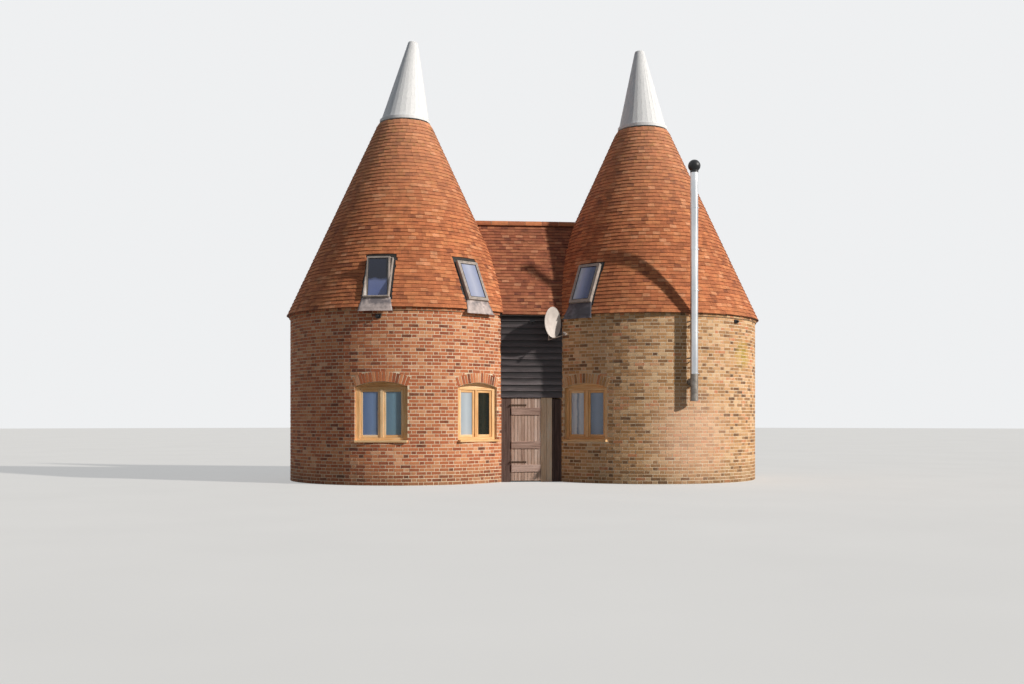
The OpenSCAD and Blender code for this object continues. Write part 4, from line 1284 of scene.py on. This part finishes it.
# %% Panes, with their painted reflections from left to right
PANE_Z = 1.6
# How far from its middle a pane's own painted reflection reaches
WINDOW_REACH = 0.24
ROOF_REACH = 0.5


def window_pane(kiln, which, side, stops):
    at = on_kiln(kiln, kiln.windows[which])
    middle = at @ Vector((side * (MULLION + LIGHT_CLEAR_W) / 2, FRAME_Y + FRAME_D / 2, PANE_Z))
    return middle, at.to_3x3() @ Vector((2, 0, 0)), stops


def roof_pane(kiln, which, stops, upwards=False):
    at = on_cone(kiln, kiln.lights[which], LIGHT_Z)
    way = at.to_3x3() @ (Vector((0, 1, 0)) if upwards else Vector((2, 0, 0)))
    return at.translation, way, stops


WINDOW_GLASS = glass("window_glass", [
    window_pane(LEFT, 0, -1, [(0.1, "#5f80b8"), (0.6, "#8aa8d6"), (0.9, "#617a9e")]),
    window_pane(LEFT, 0, 1, [(0.1, "#7096b4"), (0.5, "#8ab2c8"), (0.9, "#5c8092")]),
    window_pane(LEFT, 1, -1, [(0.1, "#bccad6"), (0.5, "#dbe6ee"), (0.9, "#b6c4d0")]),
    window_pane(LEFT, 1, 1, [(0.1, "#2c322d"), (0.5, "#39403a"), (0.9, "#20241f")]),
    window_pane(RIGHT, 0, -1, [
        (0.1, "#c4dcf6"), (0.42, "#f4faff"), (0.5, "#8098b8"), (0.62, "#eef6ff"), (0.9, "#bcd2ec"),
    ]),
    window_pane(RIGHT, 0, 1, [(0.1, "#7c94b6"), (0.5, "#a8bfdc"), (0.9, "#869dbc")]),
], WINDOW_REACH)
ROOF_GLASS = glass("rooflight_glass", [
    roof_pane(LEFT, 1, [(0.1, "#b4bcdc"), (0.5, "#d2d8ee"), (0.9, "#acb6d8")]),
    roof_pane(RIGHT, 0, [(0.1, "#f0f4ff"), (0.42, "#b0c0ee"), (0.7, "#4e64a8"), (0.95, "#34468e")]),
    roof_pane(LEFT, 0, [(0.1, "#7486c0"), (0.42, "#8796cc"), (0.5, "#1f2740"), (0.95, "#2b3450")], True),
], ROOF_REACH)
print("glass finishes:", WINDOW_GLASS.name, ROOF_GLASS.name)

# %% [markdown]
# ## Cowls
#
# A cowl is a leaning cone of white-painted boards with a rim at its foot and an open side that
# it turns out of the wind. The cone is made whole, cut open, given its thickness, and each
# board is then raised a little, which leaves the grooves between the boards.

# %% Cowls
COWL_H = 2.13
COWL_R = 0.605
COWL_TIP_R = 0.12
COWL_LEAN = radians(8.5)
COWL_BOARD = 0.028
COWL_RIM_H = 0.07
COWL_RIM_T = 0.03
COWL_RIM_OUT = 0.014
COWL_VENT_H = 1.35
COWL_VENT_HALF = radians(52)
COWL_GAP = 0.04
# Depth and half the width of the grooves between the boards
GROOVE = 0.006
GROOVE_HALF = 0.004
# The cone starts this much below the cowl's foot, so that the lean leaves no gap there
COWL_EXTRA = 0.14
LEFT.cowl_turn = 143
RIGHT.cowl_turn = 181


def at_cowl(kiln):
    turn = on_kiln(kiln, kiln.cowl_turn - 180)
    return turn @ shift(0, 0, kiln.top_z + COWL_GAP)


def cut_some(bm, faces, point, way):
    """Cuts only some of the faces by a plane."""
    some = list({part for face in faces for part in (*face.verts, *face.edges, face)})
    bmesh.ops.bisect_plane(bm, geom=some, plane_co=point, plane_no=way)


def open_side(bm, upright):
    """The faces round the axis that lie between the sides of the open wedge."""
    middles = {face: upright @ face.calc_center_median() for face in bm.faces}
    return [face for face, at in middles.items() if abs(atan2(at.x, at.y)) < COWL_VENT_HALF]


def cowl_shell(bm):
    """Makes the leaning cone with its open side, and gives back the turn that sets it upright."""
    taper = (COWL_R - COWL_TIP_R) / COWL_H
    depth = COWL_H + COWL_EXTRA
    radii = {"radius1": COWL_R - GROOVE + taper * COWL_EXTRA, "radius2": COWL_TIP_R - GROOVE}
    bmesh.ops.create_cone(bm, segments=30, depth=depth, cap_ends=True, **radii)
    bmesh.ops.translate(bm, vec=(0, 0, depth / 2 - COWL_EXTRA), verts=bm.verts)
    for side in (-1, 1):
        way = (side * cos(COWL_VENT_HALF), -sin(COWL_VENT_HALF), 0)
        cut_some(bm, [face for face in bm.faces if face.calc_center_median().y > 0.01], (0, 0, 0), way)
    lean = shift(0, COWL_R * taper * sin(COWL_LEAN), 0) @ rotation(-COWL_LEAN, "X")
    bm.transform(lean)
    cut(bm, (0, 0, 0), (0, 0, -1), clear=True)
    upright = lean.inverted()
    for z in (COWL_RIM_H, COWL_VENT_H):
        cut_some(bm, open_side(bm, upright), (0, 0, z), (0, 0, 1))
    gone = [face for face in open_side(bm, upright) if COWL_RIM_H < face.calc_center_median().z < COWL_VENT_H]
    bmesh.ops.delete(bm, geom=gone, context="FACES")
    thicken(bm, bm.faces[:], COWL_BOARD)
    return upright


def raise_boards(bm, upright):
    """Insets each outer face and lifts it, so that a groove is left round every board."""
    boards = []
    for face in bm.faces:
        middle = upright @ face.calc_center_median()
        outward = (upright.to_3x3() @ face.normal).dot(Vector((middle.x, middle.y, 0)))
        if outward > 0.05 and face.calc_area() > 0.002:
            boards.append(face)
    bmesh.ops.inset_individual(bm, faces=boards, thickness=GROOVE_HALF, depth=GROOVE, use_even_offset=True)


def add_rim(bm):
    r = COWL_R + COWL_RIM_OUT
    rim = bmesh.ops.create_cone(bm, segments=72, radius1=r, radius2=r, depth=COWL_RIM_H, cap_ends=False)
    bmesh.ops.translate(bm, vec=(0, 0, COWL_RIM_H / 2), verts=rim["verts"])
    thicken(bm, list({face for v in rim["verts"] for face in v.link_faces}), COWL_RIM_T)


def cowl_mesh(kiln, name):
    bm = bmesh.new()
    raise_boards(bm, cowl_shell(bm))
    add_rim(bm)
    bm.transform(at_cowl(kiln))
    return mesh_of(bm, name)


for kiln, side in ((LEFT, "left"), (RIGHT, "right")):
    mesh = cowl_mesh(kiln, side + "_cowl_boards")
    dress(mesh, side + "_cowl_boards", WHITE_BOARD, side + "_cowl_body", [side + "_cowl"])

# %% [markdown]
# ## Flue
#
# The stove's flue is a stack of polished steel tubes. Where two meet, a band is clamped round
# them. Tubes and bands are turned shapes, so one line is spun about the pipe's axis; the ball
# comes with the frame.

# %% Turned shapes
def turned(line, steps=48):
    """Spins points in radius and height about the Z axis into a closed shape."""
    bm = bmesh.new()
    points = [bm.verts.new((r, 0, z)) for r, z in line]
    edges = [bm.edges.new(pair) for pair in zip(points, points[1:])]
    full_spin(bm, points + edges, steps)
    bmesh.ops.recalc_face_normals(bm, faces=bm.faces)
    return shape_of(bm)


FLUE = SimpleNamespace(bearing=11.2, off=0.2, r=0.088, foot=1.89, tee=2.33, top=7.1, section=0.94)
FIRST_JOINT = FLUE.tee + 2 * FLUE.r
# No band is clamped nearer than this to the top
TOP_TUBE = 0.4
TUBE_WALL = 0.004
BAND_HALF = 0.014


def tube(z0, z1):
    r = FLUE.r
    inner = r - TUBE_WALL
    return turned([(inner, z0), (r, z0), (r, z1), (inner, z1), (inner, z0)])


def clamp(z):
    r = FLUE.r
    lower = [(-0.002, -BAND_HALF), (0.003, -BAND_HALF), (0.005, -0.009), (0.0035, -0.002)]
    upper = [(a, -b) for a, b in reversed(lower)]
    return turned([(r + a, z + BAND_HALF + b) for a, b in lower + upper + lower[:1]])


at_flue = on_kiln(RIGHT, FLUE.bearing) @ shift(0, -KILN_R - FLUE.off, 0)
joints = [FIRST_JOINT + k * FLUE.section for k in range(5)]
joints = [z for z in joints if z < FLUE.top - TOP_TUBE]
bright = [(tube(a + 0.001, b), at_flue) for a, b in zip(joints, joints[1:] + [FLUE.top])]
bright += [(clamp(z), at_flue) for z in joints]
screw = block(0.03, 0.02, 0.022)
bright += [(screw, at_flue @ shift(FLUE.r + 0.014, 0, z + BAND_HALF)) for z in joints]
smooth(lay("flue_tubes", bright, STEEL, stands_for=["flue_pipe"]))
branch = at_flue @ shift(0, 0, FLUE.tee) @ rotation(-pi / 2, "X")
dull = [(tube(FLUE.foot, FIRST_JOINT), at_flue), (tube(0.02, FLUE.off + 0.03), branch)]
dull += [(clamp(FLUE.foot), at_flue), (clamp(0.1), branch)]
cap_line = [(0.0, 0.0), (FLUE.r - 0.002, 0.0), (FLUE.r - 0.002, 0.012), (0.0, 0.012)]
dull.append((turned([(r, FLUE.foot + z) for r, z in cap_line]), at_flue))
smooth(lay("flue_tee", dull, DULL_STEEL))

# %% [markdown]
# ## Dish rim and lamps
#
# A pressed dish has a rolled edge that stiffens it. The edge is a thin ring that is pushed along
# the dish's line of sight until it meets the bowl. The wall lamps are small hooded spotlights.

# %% Dish rim
DISH = SimpleNamespace(at=(0.456, -1.97, 3.73), r=0.325, up=24, facing=48, curve=0.98)
at_dish = Matrix.Translation(DISH.at) @ rotation(radians(DISH.facing), "Z")


def dish_rim():
    bm = bmesh.new()
    bmesh.ops.create_circle(bm, segments=10, radius=0.006)
    bmesh.ops.rotate(bm, matrix=Matrix.Rotation(pi / 2, 3, "X"), verts=bm.verts)
    bmesh.ops.translate(bm, vec=(DISH.r - 0.003, 0, 0), verts=bm.verts)
    full_spin(bm, bm.verts[:] + bm.edges[:], 96)
    tip = Matrix.Rotation(radians(90 - DISH.up), 3, "X")
    sight = tip @ Vector((0, 0, 1))
    depth = DISH.curve - sqrt(DISH.curve ** 2 - DISH.r ** 2)
    centre = Vector((0, depth - DISH.curve, 0))
    for v in bm.verts:
        on_ring = tip @ (Vector((v.co.x, v.co.y, 0)).normalized() * DISH.r)
        away = on_ring - centre
        along = away.dot(sight)
        push = -along - sqrt(along**2 - away.length_squared + (DISH.curve - 0.003) ** 2)
        v.co = tip @ v.co + sight * push
    bmesh.ops.recalc_face_normals(bm, faces=bm.faces)
    return shape_of(bm)


smooth(lay("dish_rim", [(dish_rim(), at_dish)], DISH_PAINT), 60)


# %% Lamps
def lamp_parts(place):
    line = [(0, -0.045), (0.034, -0.045), (0.04, -0.04), (0.04, 0.03)]
    line += [(0.037, 0.035), (0.034, 0.03), (0, 0.028)]
    tipped = shift(0, -0.062, 0.04) @ rotation(radians(-115), "X")
    head = place @ tipped @ Matrix.Diagonal((0.62, 0.62, 0.62, 1))
    return [
        timber((-0.06, -0.022, 0.0), (0.06, 0.004, 0.09), place, 0.006),
        timber((-0.012, -0.05, 0.035), (0.012, -0.018, 0.055), place, 0.004),
        (turned(line, 32), head),
    ]


LAMP_Z = 3.73
# Bearings of the kilns' lamps
LEFT_LAMP_AT = -11.7
RIGHT_LAMP_AT = 39.5
on_wall = shift(0, -KILN_R - PROUD, LAMP_Z)
lamps = lamp_parts(on_kiln(LEFT, LEFT_LAMP_AT) @ on_wall)
lamps += lamp_parts(on_kiln(RIGHT, RIGHT_LAMP_AT) @ on_wall)
lamps += lamp_parts(shift(0.02, -LINK_Y - 0.02, LAMP_Z))
smooth(lay("lamps", lamps, BLACK_METAL, stands_for=["wall_lamps"]))

# %% [markdown]
# ## Finishes for the solids that still show
#
# The walls of the frame show as mortar between the bricks, and as limewash inside the rooms.
# What lies under the tiles and boards is dark, so that the joints between them stay dark.


# %% Wall finish
def wall_finish(kiln, name):
    material, tree, shader = new_material(name, 0.95)
    where = object_place(tree)
    outside = ramp(tree, speckle(tree, where, 4, 8), [(0.3, "#dac2a2"), (0.55, "#eed9bb"), (0.75, "#f8ead2")])
    inside = ramp(tree, speckle(tree, where, 2, 6), [(0.3, "#cfc8b8"), (0.7, "#e4dece")])
    flat = add(tree, "Mapping", Vector=where, Location=(-kiln.x, 0, 0), Scale=(1, 1, 0))
    from_axis = add(tree, "VectorMath", 1, {"operation": "LENGTH"}, i0=flat)
    is_outside = maths(tree, "GREATER_THAN", from_axis, KILN_R - 0.12)
    finish_material(tree, shader, mix(tree, is_outside, inside, outside), speckle(tree, where, 150, 6), 0.002)
    return material


WALL_PARTS = ("wall_front", "wall_side", "wall_rear", "wall_link", "arches")
COVERED = ("left_cone", "right_cone", "link_roof", "link_wall")
finishes = {
    wall_finish(LEFT, "left_wall"): ["left_" + part for part in WALL_PARTS],
    wall_finish(RIGHT, "right_wall"): ["right_" + part for part in WALL_PARTS],
    MORTAR: ["eaves_courses"],
    CONCRETE: ["ground_floor"],
    SOFTWOOD: ["upper_floors", "cowl_bearers", "left_cowl_post", "right_cowl_post", "gate_frame"],
    TARRED: ["cone_curbs"] + [part + end for part in COVERED for end in ("_front", "_rear")],
    WINDOW_GLASS: ["window_glass"],
    ROOF_GLASS: ["rooflight_glass"],
    BLACK_METAL: ["flue_ball"],
    RUSTY_IRON: ["gate_straps", "gate_pins"],
    STEEL: ["flue_brackets"],
    DISH_PAINT: ["dish"],
    GREY_METAL: ["dish_mount"],
}
for material, names in finishes.items():
    for name in names:
        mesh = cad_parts[name].data
        mesh.materials.clear()
        mesh.materials.append(material)
print("dressed solids:", sum(len(names) for names in finishes.values()))

# %% [markdown]
# ## Floor and world
#
# The floor is pale and plain, so that the building's shadow shows. It throws back only as much
# light as open ground would, so the shade under the eaves stays deep, and a half of what the
# camera sees of it is an even pale tone. The world lights the shade softly, and looks pale
# where it is seen directly, in a pane or in polished steel.

# %% Floor and world
def seen_directly(tree):
    """1 for what the camera sees straight, in a mirror or through a pane, else 0."""
    path = tree.nodes.new("ShaderNodeLightPath")
    rays = [path.outputs[name] for name in ("Is Camera Ray", "Is Glossy Ray", "Is Transmission Ray")]
    return maths(tree, "MAXIMUM", maths(tree, "MAXIMUM", rays[0], rays[1]), rays[2])


floor_material, tree, shader = new_material("studio_floor", 0.9)
pale = ramp(tree, speckle(tree, object_place(tree), 0.3, 2), [(0.3, "#dcdad6"), (0.7, "#e4e2de")])
finish_material(tree, shader, mix(tree, seen_directly(tree), (0.24, 0.24, 0.22, 1), pale))
glow = add(tree, "Emission", Color=(0.84, 0.84, 0.83, 1), Strength=1.0)
half_seen = times(tree, seen_directly(tree), 0.5)
lifted = add(tree, "MixShader", i0=half_seen, i1=shader.outputs[0], i2=glow)
tree.links.new(lifted, tree.nodes["Material Output"].inputs["Surface"])
bpy.ops.mesh.primitive_circle_add(vertices=96, radius=160, fill_type="NGON", location=(0, 0, -0.003))
floor = bpy.context.object
floor.name = "studio_floor"
floor.data.materials.append(floor_material)
floor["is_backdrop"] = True

world = bpy.data.worlds.new("studio")
world.use_nodes = True
scene.world = world
tree = world.node_tree
light = tree.nodes["Background"]
light.inputs["Color"].default_value = (0.72, 0.83, 1.0, 1)
light.inputs["Strength"].default_value = 0.17
seen = add(tree, "Background", Color=(0.86, 0.87, 0.88, 1), Strength=1.0)
blend = add(tree, "MixShader", i0=seen_directly(tree), i1=light.outputs[0], i2=seen)
tree.links.new(blend, tree.nodes["World Output"].inputs["Surface"])
print("world and floor ready")

# %% Measure the visual box and finish
low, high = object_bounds()
print("visual box", low, high)
